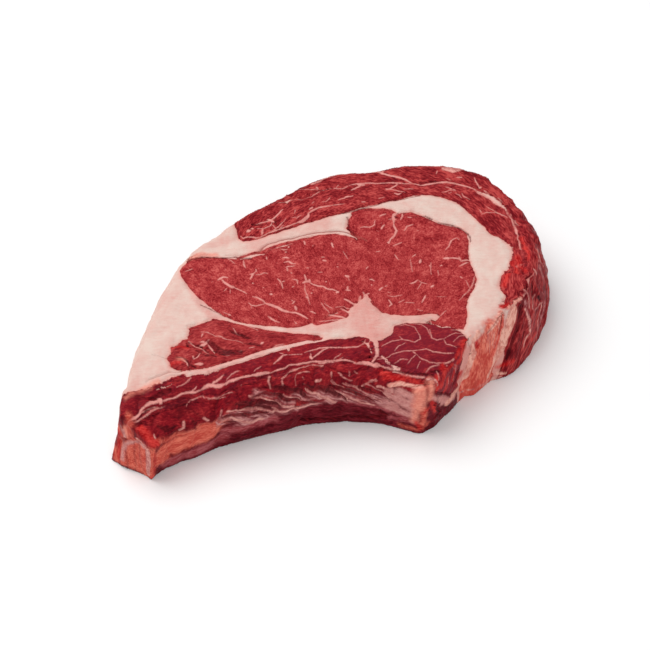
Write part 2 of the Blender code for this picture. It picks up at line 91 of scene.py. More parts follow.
# Veins are drawn in plan, and go down through the steak with the fibres.
EYE_VEINS = (
    (0.51, (-14.8, 1.4), (-13, -0.2), (-10.7, -1.1), (-8.4, -1.5), (-6.2, -3.1), (-3.5, -3.6),
     (-1.3, -5)),
    (0.86, (-1.7, -5.5), (-0.7, -5.9)),
    (0.74, (-17.9, 0.9), (-16.4, 2), (-14.8, 1.9), (-15, 3.4)),
    (0.51, (-17.3, 6.8), (-16.6, 3.7), (-16.4, 2)),
    (0.34, (-17.1, -0.2), (-17, -3.4), (-16.3, -6.1), (-15.2, -8.2), (-14.1, -13.1)),
    (0.63, (-16.3, -8.5), (-14.9, -8.9)),
    (0.66, (-13.9, -6.1), (-13.4, -6.2)),
    (0.43, (-12.9, -4.2), (-12.6, -4.3)),
    (0.69, (2.8, 5.9), (4.7, 5.2)),
    (0.29, (4.2, 5.2), (4.7, 3.1)),
    (0.57, (3.7, -1.1), (3.7, -3.8)),
    (0.57, (2.7, -4.2), (5.1, -4.5)),
    (0.29, (15.5, 3.5), (16.9, 2.2)),
    (0.4, (14.5, 3.5), (16, 3.5)),
    (0.29, (15.4, 0.2), (15.9, -1.2)),
    (0.46, (19.2, -4.6), (21.2, -2.6)),
    (0.29, (22.2, -1.9), (23.2, -1.2)),
    (0.29, (23.6, -5.2), (25.1, -5.8)),
    (0.29, (23.5, -7.8), (26.4, -8.1), (30.4, -7.1)),
    (0.46, (23.5, -10.5), (24.9, -13.1), (23.3, -15.1)),
    (0.29, (31.2, -12), (36, -12.2)),
    (0.29, (28.3, -11.7), (31.2, -10.3)),
    (0.46, (34, -0.5), (36.5, 0.5), (38, 1.8)),
    (0.29, (38.5, 1.5), (40.4, 0.2), (42.8, -0.4)),
    (0.23, (39.9, 0.2), (37.8, -3.7)),
    (0.63, (44.2, -2.7), (45.7, -1)),
    (0.51, (39.4, -12.1), (40.5, -10.1), (41.5, -7.6)),
    (0.23, (46.9, -8.1), (51.7, -8)),
    (0.29, (37.3, -16.4), (38.7, -17.4), (40.2, -17.7)),
    (0.29, (45.5, 16), (45.1, 6.5)),
    (0.23, (35.5, 13.4), (35.8, 8.3)),
    (0.29, (48.7, 10.2), (48.5, 5.9)),
    (0.29, (-7.1, -13.1), (-4.6, -15.7), (-3.2, -17)),
    (0.29, (-9, -12.4), (-6.6, -16.9), (-5.1, -19.4)),
    (0.46, (-14.3, -17.7), (-11.7, -19.4)),
    (0.57, (-7.1, 1.9), (-6.8, 1.6)),
    (0.63, (-59.5, 3.3), (-58.4, 4.6), (-57.1, 5.5), (-55.1, 5.2)),
    (0.69, (-57.7, 3.3), (-56.1, 1.1), (-53.7, -0.8), (-51.9, -1.4)),
    (0.97, (-53.2, -1.2), (-51.5, -1.6)),
    (0.46, (-51.9, -1.4), (-49.2, -3.3), (-47.4, -4.3), (-45.1, -6.1)),
    (0.34, (-55, -2.4), (-56.3, -4.3)),
    (0.23, (-53.2, -3), (-52.9, -6.2)),
    (0.57, (-42, -7.9), (-39.8, -8.5), (-37.5, -10.7), (-35.7, -12.8)),
    (0.91, (-35.7, -12.8), (-33, -13.7), (-29.9, -15.1), (-27.7, -16.9), (-24.6, -17.8)),
    (0.57, (-24.6, -17.8), (-21.1, -18.1), (-18.4, -19.8), (-15.8, -22.4)),
    (0.4, (-44.1, -12.3), (-42.7, -13.8), (-40.5, -14.3), (-37.8, -13.4), (-35.7, -12.8)),
    (0.23, (-42.6, -14.4), (-42.6, -15.9)),
    (0.74, (-21.6, -14.1), (-21.1, -16.4)),
    (0.34, (-22.9, -12.9), (-21.4, -10.5)),
    (0.29, (-23.4, -9.9), (-21.8, -11.4)),
    (0.34, (-56.4, 19.3), (-54.5, 17.7), (-51.7, 14.9)),
    (0.46, (-47.5, 17.7), (-47, 14.8), (-46.3, 12.1)),
    (0.43, (-36.4, 20.5), (-36, 18.5)),
    (0.57, (-44.1, 7.6), (-42.2, 7.7), (-43.2, 6), (-43.8, 4.4)),
    (0.4, (-42.2, 7.9), (-40.9, 9.6), (-41.3, 11.3)),
    (0.34, (-41, 6.9), (-38.4, 7.5), (-36.9, 8.4), (-35.1, 8.1)),
    (0.51, (-29.1, 25.7), (-27, 25.1), (-25.4, 25.4)),
    (0.57, (-25, 27.3), (-25, 26.6)),
    (0.57, (-26.1, 23.9), (-26.1, 23.2)),
    (0.57, (-28, 19.5), (-26.1, 19.8), (-24.7, 19.1)),
    (0.51, (-27.3, 15.9), (-24.9, 16.7), (-23, 15), (-21.4, 14.7)),
    (0.4, (-26.3, 12), (-24.8, 12.8), (-21.8, 13.3)),
    (0.34, (-25.6, 11.7), (-25.2, 9.2)),
    (0.43, (-23.7, 8.4), (-23.2, 8)),
    (0.43, (-16.4, 11.8), (-14.9, 11.7)),
    (0.34, (-10.7, 8.6), (-8.4, 8.5)),
    (0.51, (-22.8, 3.5), (-20.9, 3.2), (-20.4, 0.4)),
    (0.4, (-23.1, -2), (-22.1, -1.5)),
    (0.49, (-30.5, 4.1), (-29.6, 2.7), (-28.6, 0.3), (-27.8, -2.5)),
    (0.51, (-28.4, 1.6), (-26.8, 2.1)),
    (0.69, (-33.9, -6.1), (-32.6, -6.6)),
    (0.34, (-37.1, -1.9), (-36.8, -2.3)),
    (0.46, (-42.2, 1.5), (-41.9, 0.8)),
    (0.46, (-34.2, -20.9), (-32.8, -22.3), (-30.6, -24), (-28.4, -24.8)),
    (0.51, (-53.4, -20.3), (-52.3, -21.2)),
    (0.29, (-56, -18.9), (-53.8, -20.1)),
    (0.29, (-75.7, 9.2), (-72.2, 11)),
    (0.46, (-17.2, 31.1), (-16.8, 28.2)),
    (0.57, (-3.6, 29.2), (-3, 26.2)),
    (0.34, (-8.8, 19.4), (-7.3, 19.4)),
    (0.63, (-8.3, 17.2), (-6.4, 16.7)),
    (0.46, (-1.1, 12.2), (-0.5, 11.9)),
    (0.86, (29.8, 51.8), (27.9, 50), (27.3, 47.1), (27.8, 44.3)),
    (0.57, (27.8, 44.3), (28.2, 41.5), (29.4, 38.7), (28.3, 35.8), (26.4, 33.1), (25.1, 30.5)),
    (0.86, (25.1, 31.2), (25.1, 30.1)),
    (0.57, (32.3, 50.8), (32, 48.7), (31.1, 46.5)),
    (0.34, (29.1, 46.1), (25, 46.4)),
    (0.51, (20.5, 48.4), (23.6, 49.9)),
    (0.4, (18.6, 45.9), (18.3, 42.7), (16, 41.3), (12.7, 41.5), (10.7, 40.4)),
    (0.57, (21.8, 39.9), (23.1, 42.8)),
    (0.46, (33.2, 38.7), (34.5, 41.9), (37.6, 43.4)),
    (0.46, (27.5, 27.9), (30.6, 29.5), (31.9, 30.3)),
    (0.4, (34.8, 48.4), (37, 48.1)),
    (0.4, (18.4, 22.7), (20.4, 23.1)),
    (0.26, (1.9, 22.8), (4.4, 17.8)),
    (0.4, (27.8, 20.7), (28.7, 18.4), (29.6, 16.2)),
    (0.4, (36.7, 19), (38, 21)),
    (0.69, (40, 14.6), (40.9, 17.3)),
    (0.26, (35.6, 17.1), (36.1, 11.2)),
    (0.51, (44.5, 12.9), (44.9, 13)),
    (0.4, (49.8, 13.2), (50.9, 13.9)),
    (0.46, (59.2, 33.6), (56.3, 31.5), (55.3, 27.8), (53.4, 25)),
    (0.29, (59.2, 33.6), (60.3, 31.8)),
    (0.86, (52.4, 18.7), (55.1, 19.1)),
    (0.57, (55.1, 19.1), (60.1, 18.8)),
    (0.57, (59.6, 19.9), (60, 17.7)),
    (0.57, (60, 17), (64, 18.5)),
    (0.57, (59.3, 13.4), (61.4, 15.2), (63.4, 16.3)),
    (0.4, (12.7, 10.1), (14.2, 11.8)),
    (0.29, (67, 10.7), (65, 2.3), (61.7, -4.5), (57.9, -9.8)),
    (0.29, (61.7, 3.6), (62.8, -1.1)),
    (0.4, (59.3, 6.3), (60.3, 5)),
)
STAR_SPIKES = (
    (1.71, (10.8, -14.6), (11.8, -10.6), (12.4, -7.3)),
    (0.43, (12.4, -6.9), (14.3, -6.2)),
    (0.43, (11.4, -5.2), (11.9, -7.9)),
    (0.57, (8.4, -12.6), (8.9, -10.1), (9.5, -7.9)),
    (0.57, (6.5, -13), (4.6, -11.6), (2.2, -10.6)),
    (0.29, (6, -15.2), (2.1, -15.5), (-2.2, -15.7)),
    (0.57, (5.9, -19.7), (4, -18.1), (1.1, -16.8)),
    (0.57, (3, -22.4), (-0.8, -21.4), (-5.1, -20.4)),
    (0.34, (2.1, -23.3), (-4.7, -23.8), (-9.4, -24.3)),
    (0.29, (47.3, -19.6), (49.3, -18.7), (51.3, -17)),
    (4, (8.8, -17.2), (14.6, -18.5), (17.4, -22.4)),
    (2.29, (7.4, -13.3), (12.7, -15.2)),
    (0.86, (15.3, -31.9), (16.4, -35.7), (17, -39.5)),
)
CAP_VEINS = (
    (0.34, (-31.2, 58.7), (-27.6, 59.4), (-24, 60.8), (-21.5, 61.8), (-17.4, 62.8), (-14.8, 63.4),
     (-11.7, 65.2), (-8.6, 67.7), (-5.5, 68.9)),
    (0.43, (-5.5, 68.5), (-1.9, 69.3), (1.8, 68.7), (3.8, 70.1), (6.5, 71.8)),
    (0.26, (-1.3, 69.4), (-0.3, 71.3), (0.2, 72.1)),
    (0.29, (-20, 69), (-14.8, 68.4), (-11.7, 68.6), (-9.1, 67.8)),
    (0.51, (-11.7, 70.2), (-10.7, 69)),
    (0.4, (-0.4, 60.4), (2.7, 61.7), (6.4, 62.7), (7.1, 63.4)),
    (0.29, (-8.6, 58.7), (-6.5, 59.1), (-5, 60.9), (-4.5, 62)),
    (0.26, (-13.7, 58.1), (-12.7, 59.6)),
    (0.46, (-42.3, 33.3), (-38.8, 35), (-35.8, 36.7), (-32.3, 38.7), (-29.3, 39.6), (-25.8, 41.4),
     (-22.3, 43.5), (-19.7, 44.2)),
    (1.14, (-20.8, 44.2), (-18.7, 44.5), (-17.2, 46.7), (-15.7, 49.3)),
    (0.57, (-17.2, 46.7), (-15.7, 50.4), (-13.7, 52.6), (-10.6, 54.4), (-7.1, 55.1), (-4, 56.1)),
    (0.29, (-4, 56.1), (-0.4, 56.9), (3.2, 57.6)),
    (0.63, (-15.2, 53.4), (-13.7, 54.8)),
    (0.31, (-34.8, 38), (-32.4, 39.7), (-30.4, 41.8), (-28.9, 44.3)),
    (0.31, (-33.3, 37.6), (-30.3, 39.3), (-28.3, 42.5)),
    (0.23, (-30.9, 40.7), (-28.4, 44.6), (-26.9, 47.2)),
    (0.46, (-42.1, 43.4), (-39.1, 44.4), (-36, 45.4), (-34, 45.8)),
    (0.97, (-36.1, 46.5), (-33, 44.7)),
    (0.51, (-34.5, 46.1), (-32.5, 48.7), (-30, 51.3), (-28.6, 54)),
    (0.37, (-34, 44.7), (-34.9, 42.2), (-38.4, 40.2), (-41.5, 40.2)),
    (0.57, (-38.9, 40.2), (-39.1, 35.7)),
    (0.29, (-33.9, 42.5), (-31.9, 40.4)),
    (0.8, (-46.5, 37.8), (-45, 38.8)),
    (0.63, (-44.5, 39.9), (-43.5, 39.9)),
    (0.43, (-49.9, 35.1), (-48.3, 33.3), (-46.4, 34.4), (-42.3, 33.8), (-39.8, 34.3),
     (-37.8, 35.7)),
    (0.29, (-21.8, 46.8), (-19.8, 49.3)),
    (0.23, (-24.4, 47.5), (-21.8, 47.9)),
    (0.23, (-22.9, 50.5), (-22.4, 53.9)),
    (0.86, (19.7, 83.8), (23.3, 81.4), (27.5, 79.8), (31.6, 78.6), (34.7, 77), (37.8, 74.6)),
    (0.57, (6.5, 71.8), (9.6, 72.9), (16.4, 73.4), (20.5, 73.2), (25.8, 74), (32, 73.9),
     (38.8, 73.9)),
    (0.71, (38.8, 73.9), (45, 73.2), (50.7, 73.8), (56.5, 74.3), (61.1, 73.4), (65.7, 71.4),
     (70.2, 69)),
    (0.91, (9.6, 72.3), (13.2, 72.1)),
    (0.57, (6.4, 67.7), (9, 69.8), (11.1, 71.1)),
    (0.51, (24.6, 68.4), (26.7, 69.3), (29.3, 71.4), (30.9, 73.1)),
    (0.4, (24.6, 69.2), (27.7, 68.6), (29.7, 67.9), (32.3, 67.2), (34.4, 66.8)),
    (0.49, (28.6, 65.8), (30.7, 65.1), (32.3, 66)),
    (0.49, (3.3, 62.3), (5.3, 62.7)),
    (0.26, (20.2, 61.1), (23.4, 62.4)),
    (0.51, (11.4, 58.6), (13.5, 59)),
    (0.37, (33.9, 69.6), (39.1, 69.8)),
    (0.31, (55.3, 71), (57.8, 69.8), (60.4, 69), (61.3, 67.9)),
    (0.31, (53, 67), (55.6, 67.3), (57.8, 68.7), (60.3, 68.3)),
    (0.26, (56.6, 66.2), (58.7, 67.2)),
    (0.31, (60.7, 66.5), (62.7, 65.3), (63.7, 63.2)),
    (0.31, (63.9, 66.7), (65.2, 63.8), (67.7, 62)),
    (0.57, (61.9, 78.3), (64.5, 77.8)),
    (0.31, (56.6, 77.3), (59.1, 75.7)),
    (0.37, (51.6, 80.5), (52.2, 83.3)),
    (0.74, (70.2, 69), (72.1, 66.5), (76, 63.2), (79.9, 59.8), (83.3, 56.5), (86.1, 53.2)),
    (0.57, (86.1, 53.2), (87.4, 49.6), (88.6, 45.8), (89.2, 41.3), (89.4, 37.5)),
    (0.31, (86.1, 53.2), (88, 51.3), (88.6, 48.8)),
    (0.63, (89.4, 37.5), (89.3, 32.9), (90.2, 29.1), (89.9, 25.4), (90.2, 23.2)),
    (0.91, (89.4, 39.8), (89.3, 36)),
    (0.29, (72.4, 54.4), (73, 51.9)),
    (0.4, (73.2, 51.1), (75.3, 52.2), (77.8, 51.7), (80.4, 52.4), (82.4, 51.9), (84.4, 50.8),
     (85.8, 48.9)),
    (0.26, (76.1, 56.4), (79, 54.2), (80.5, 52.7)),
    (0.4, (70.7, 77.7), (71.5, 73.8), (72.8, 70.1)),
    (0.51, (72.3, 70.1), (73.9, 70.8)),
    (0.46, (74.8, 68.3), (76.7, 66), (77.2, 64.9)),
    (0.31, (81.7, 63.3), (83.1, 61.2)),
    (0.31, (89.7, 47.3), (90.4, 42.8)),
    (0.51, (89.1, 15.7), (87.4, 13), (86.8, 11.8)),
)
RIB_VEINS = (
    (0.66, (-96.3, -82.4), (-92.6, -78.8), (-88.2, -73.7)),
    (0.78, (-88.2, -73.7), (-83.7, -69.9)),
    (1.09, (-83.9, -69.6), (-82.1, -70.5)),
    (0.5, (-82.1, -70.1), (-75.8, -67.4), (-70.5, -64.9), (-63.9, -62.6)),
    (0.78, (-63.9, -62.6), (-59.9, -60.4), (-53.8, -59.3)),
    (0.67, (-53.8, -59.3), (-46.9, -58.1), (-40.2, -55.8)),
    (0.38, (-95.4, -82.8), (-90.6, -79.5), (-86.8, -76.3), (-83.7, -73.3), (-79.7, -71.1)),
    (0.38, (-90.7, -77), (-87.5, -75.1), (-84, -72.9)),
    (0.29, (-76, -63.1), (-73.3, -62.1), (-69.1, -58.7)),
    (0.38, (-60.9, -61.5), (-58.4, -58.9), (-53.8, -56.2)),
    (0.29, (-69.2, -64.5), (-66.6, -61.8)),
    (0.25, (-52.4, -58.2), (-50.4, -56), (-46.3, -54.5)),
    (1.03, (-65.5, -50.8), (-64.1, -50.9)),
    (0.59, (-73.9, -49.4), (-71.8, -50.2), (-71, -52.7)),
    (0.34, (-39.3, -60.7), (-41.4, -62.2), (-40.1, -64)),
    (0.25, (-69.8, -69.6), (-68.5, -67.2), (-63.9, -65), (-57.1, -64.1), (-51.6, -64.6)),
    (0.25, (-44.5, -60.1), (-43.5, -62.7)),
    (0.52, (-9.4, -48.6), (-5.1, -48.3), (1.4, -47.5), (5, -47.2), (8.6, -48.6)),
    (0.44, (19.3, -50.1), (22.9, -51.1), (27.9, -53), (30.7, -54.4), (36.4, -55.2), (40.7, -55.7)),
    (0.5, (-31.3, -54.2), (-27.2, -52.1), (-23.1, -50.4), (-16.3, -48.9), (-9.4, -48),
     (-4.7, -47.6)),
    (0.69, (8.6, -48.6), (14.3, -48.8), (19.3, -50)),
    (0.78, (-40.8, -55.9), (-35.4, -54.8), (-31.3, -54.3)),
    (0.37, (-55, -23), (-52, -24.2), (-47.7, -25.7), (-44.3, -27.2), (-41.4, -28.7), (-39, -30.2)),
    (0.31, (-50.9, -29.1), (-49.9, -30.9), (-48.4, -33.4), (-46.9, -34)),
    (0.29, (-66.4, -33.4), (-63.1, -33.2), (-59.2, -34.6), (-55.9, -35.1), (-52.5, -36.6),
     (-49.2, -37.5), (-45.8, -38.6)),
    (0.46, (-66.6, -37.7), (-64.2, -38.6)),
    (0.86, (-66, -40.1), (-64.2, -39.8), (-62.4, -38.2)),
    (0.51, (-62.3, -39.8), (-61.2, -42.2), (-59.7, -44.6), (-59.2, -45.8)),
    (0.31, (-65.4, -34), (-66.3, -35.5)),
    (0.43, (-71.8, -38), (-68.4, -40.7), (-65, -42.8), (-62, -45.5)),
    (0.46, (-69, -46.6), (-68, -48), (-66.6, -46.8), (-65.8, -45.3)),
    (1.03, (-66.9, -51.1), (-64.1, -50.4)),
    # Painted highlight: this stroke is a pink highlight along a lobe of the left lean, drawn in
    # vein colour.
    (0.63, (-76, -47.2), (-73.1, -48.1), (-71.6, -50.5)),
    (0.46, (-49.8, -44.6), (-47.5, -43.3), (-46.2, -42.4)),
    (0.57, (-53.5, -45.8), (-51.7, -45.2)),
    (0.74, (-37.3, -38.8), (-36.4, -37.8)),
    (0.37, (-42.9, -41.4), (-40.5, -41)),
    (0.37, (-31.6, -40.9), (-28.8, -39.5), (-26, -38.5)),
    (0.4, (-16.5, -43.6), (-13.2, -42.4), (-9.4, -41.1), (-5.6, -40.8), (-2.3, -41.1), (1.4, -41.2),
     (5.7, -40.7), (8.5, -40.5), (10.4, -38.6), (11.9, -36.1)),
    (0.51, (-12.7, -46.7), (-10.3, -44.5), (-8, -42.6), (-5.2, -41.1)),
    (0.69, (-13.6, -45.4), (-12.7, -46.9)),
    (0.31, (-13.6, -44.1), (-13.2, -45.4)),
    (0.46, (-30.5, -50.2), (-28.2, -47.8), (-26.3, -45.6), (-24.4, -45.2)),
    (0.31, (-28.2, -44.5), (-26.3, -44.7)),
    (0.26, (-24.4, -45.5), (-20.7, -44.8), (-17.4, -44.2)),
    (0.29, (-2.8, -47.7), (-1.4, -46), (0.5, -44.2)),
    (0.26, (-0, -47.3), (1.4, -45.8)),
    (0.26, (-39.7, -54.1), (-36.5, -51.5)),
    (0.69, (16.8, -40.1), (16.9, -45.4), (15, -48.3)),
    (0.74, (10.8, -48.3), (14.5, -48.7), (18.3, -50.2)),
)
CHINE_VEINS = (
    (0.26, (27.1, -28.2), (31.5, -26.6), (35.8, -28.1), (37.5, -32.2)),
    (0.26, (33.7, -25.6), (38.8, -26.5), (41.6, -29.6), (42.5, -33.7)),
    (0.31, (42.7, -30.1), (43.2, -35.2), (45.6, -36.7), (48.6, -36)),
    (0.26, (48.6, -36), (52.4, -33.4), (54.6, -31.8), (57.5, -32.1)),
    (0.31, (28.3, -34.6), (29.7, -36.6), (35.4, -38.4), (38.4, -36.2), (37.5, -32.2)),
    (0.31, (19.5, -40.7), (24.6, -37.5), (29.7, -36.6)),
    (0.31, (25.9, -43.8), (27.4, -41), (31.1, -38.7)),
    (0.31, (24.4, -45.6), (30.9, -44.5), (34.5, -44.3), (36.6, -44.1)),
    (0.39, (33.8, -44.5), (35.5, -46.4)),
    (0.31, (36.6, -44.1), (41, -43.1), (43.9, -44), (48.3, -44.1), (54.1, -43.1)),
    (0.26, (48.6, -36), (49.9, -39.1), (55.7, -40.1)),
    (0.26, (35.5, -46.4), (37.9, -48.4), (42.2, -50.1), (46.6, -49.2), (51.8, -47.7)),
    (0.26, (17.2, -47.4), (20.8, -46.9), (24.4, -45.6)),
    (0.26, (25, -49.7), (28.6, -48.6), (31.8, -49.1)),
    (0.26, (31.4, -51.2), (32.9, -49.5), (35.5, -46.8)),
    (0.26, (36.4, -52.6), (37.9, -50)),
    (0.31, (40.7, -54.4), (42.9, -52.1), (47.4, -49.6)),
    (0.35, (49.6, -48.8), (53.4, -46.9), (57.1, -44), (56.7, -44.9)),
    (0.26, (53.6, -37.4), (56.3, -34.1), (59, -33)),
    (0.31, (52.6, -29.8), (56.3, -29.1), (59.8, -30.6)),
)
LEAN_PATCHES = (
    (2, (-11.4, -24.9), (-4.7, -23.2), (2.6, -20.2)),
    (1.14, (2.6, -13.9), (5.5, -11.3)),
    (2.29, (3.1, -12.6), (1.1, -17.4)),
    (1.14, (7, -9.9), (5, -13.2)),
    (2, (16.2, -9.9), (19.5, -15.8)),
    (1.14, (15.4, -11.9), (17.5, -15.5)),
    (1.43, (4.8, -36.5), (8.6, -35.4), (12.4, -36.5)),
    (1, (-26.8, -44.4), (-18.8, -41.9), (-10.4, -39.2)),
    (0.86, (-60.6, -24.6), (-50, -28.1), (-42.8, -30), (-33.2, -31.9), (-23.7, -32.2),
     (-15.1, -33.1)),
    (2.29, (-28.7, 62.1), (-25.1, 63.5)),
    (1.43, (82, 6.6), (79.1, 0.6)),
    (1, (-50.3, 19.1), (-38.6, 25.1), (-25.6, 29.6), (-15.6, 32.4)),
    (1.14, (-26.1, -31.7), (-16.6, -32.9), (-9.4, -33.9)),
    (1.43, (-89.6, -67.2), (-84.3, -63.8), (-78.9, -61.2), (-72.6, -58.5)),
    (1.14, (14.5, -38.1), (15.5, -44.8)),
    (1.14, (19.7, -38.3), (18.1, -45)),
    (2.57, (17.4, -48.3), (19.7, -50.5), (22.5, -52.8)),
)
LOBES = (
    (4, (-67.8, -33.1), (-59.4, -31.2), (-48.4, -32.2)),
    (2.29, (-76.3, -42.3), (-70.6, -42.9), (-63.8, -46.4), (-55.3, -48.6)),
    (2.29, (-77.6, -51.3), (-73.9, -50.6)),
    (2.29, (-64.8, -36.7), (-55.7, -38.5), (-47.2, -38.4)),
    (2.86, (-38.8, -34.4), (-28.4, -34.6)),
)
ROSY = (
    (0.65, 6.86, (8.4, -10.6), (12.1, -21.7), (14.8, -32.5)),
    (0.45, 1.14, (21.7, -21.7), (33.7, -22.9), (44.3, -21.2)),
    (0.4, 1.14, (4.9, -25.9), (-9.4, -28.6), (-23.7, -29.3)),
    (0.12, 7.43, (-82.1, -10.8), (-73, -2.1), (-61.4, 10.6)),
    (0.12, 4.57, (-90.6, -27.1), (-86.6, -16.2)),
    (0.3, 2.86, (-42.2, 28.9), (-24.7, 37.5), (-7.1, 43.1)),
    (0.3, 2.29, (-97.7, -69.5), (-90.4, -62), (-81.4, -57.4)),
    (0.35, 1.14, (-65.4, -53.9), (-46.8, -49.9), (-36.7, -45.6)),
    (0.3, 1.43, (64.8, -32.1), (70, -25.4), (77.4, -15.6)),
    (0.45, 0.86, (-72.9, -3.2), (-68.4, -12.8), (-63.2, -20.3), (-56.3, -25.4), (-47.5, -29.6)),
    (0.3, 1.14, (-67.1, 26.6), (-52.4, 33.6), (-38.9, 37.8)),
)

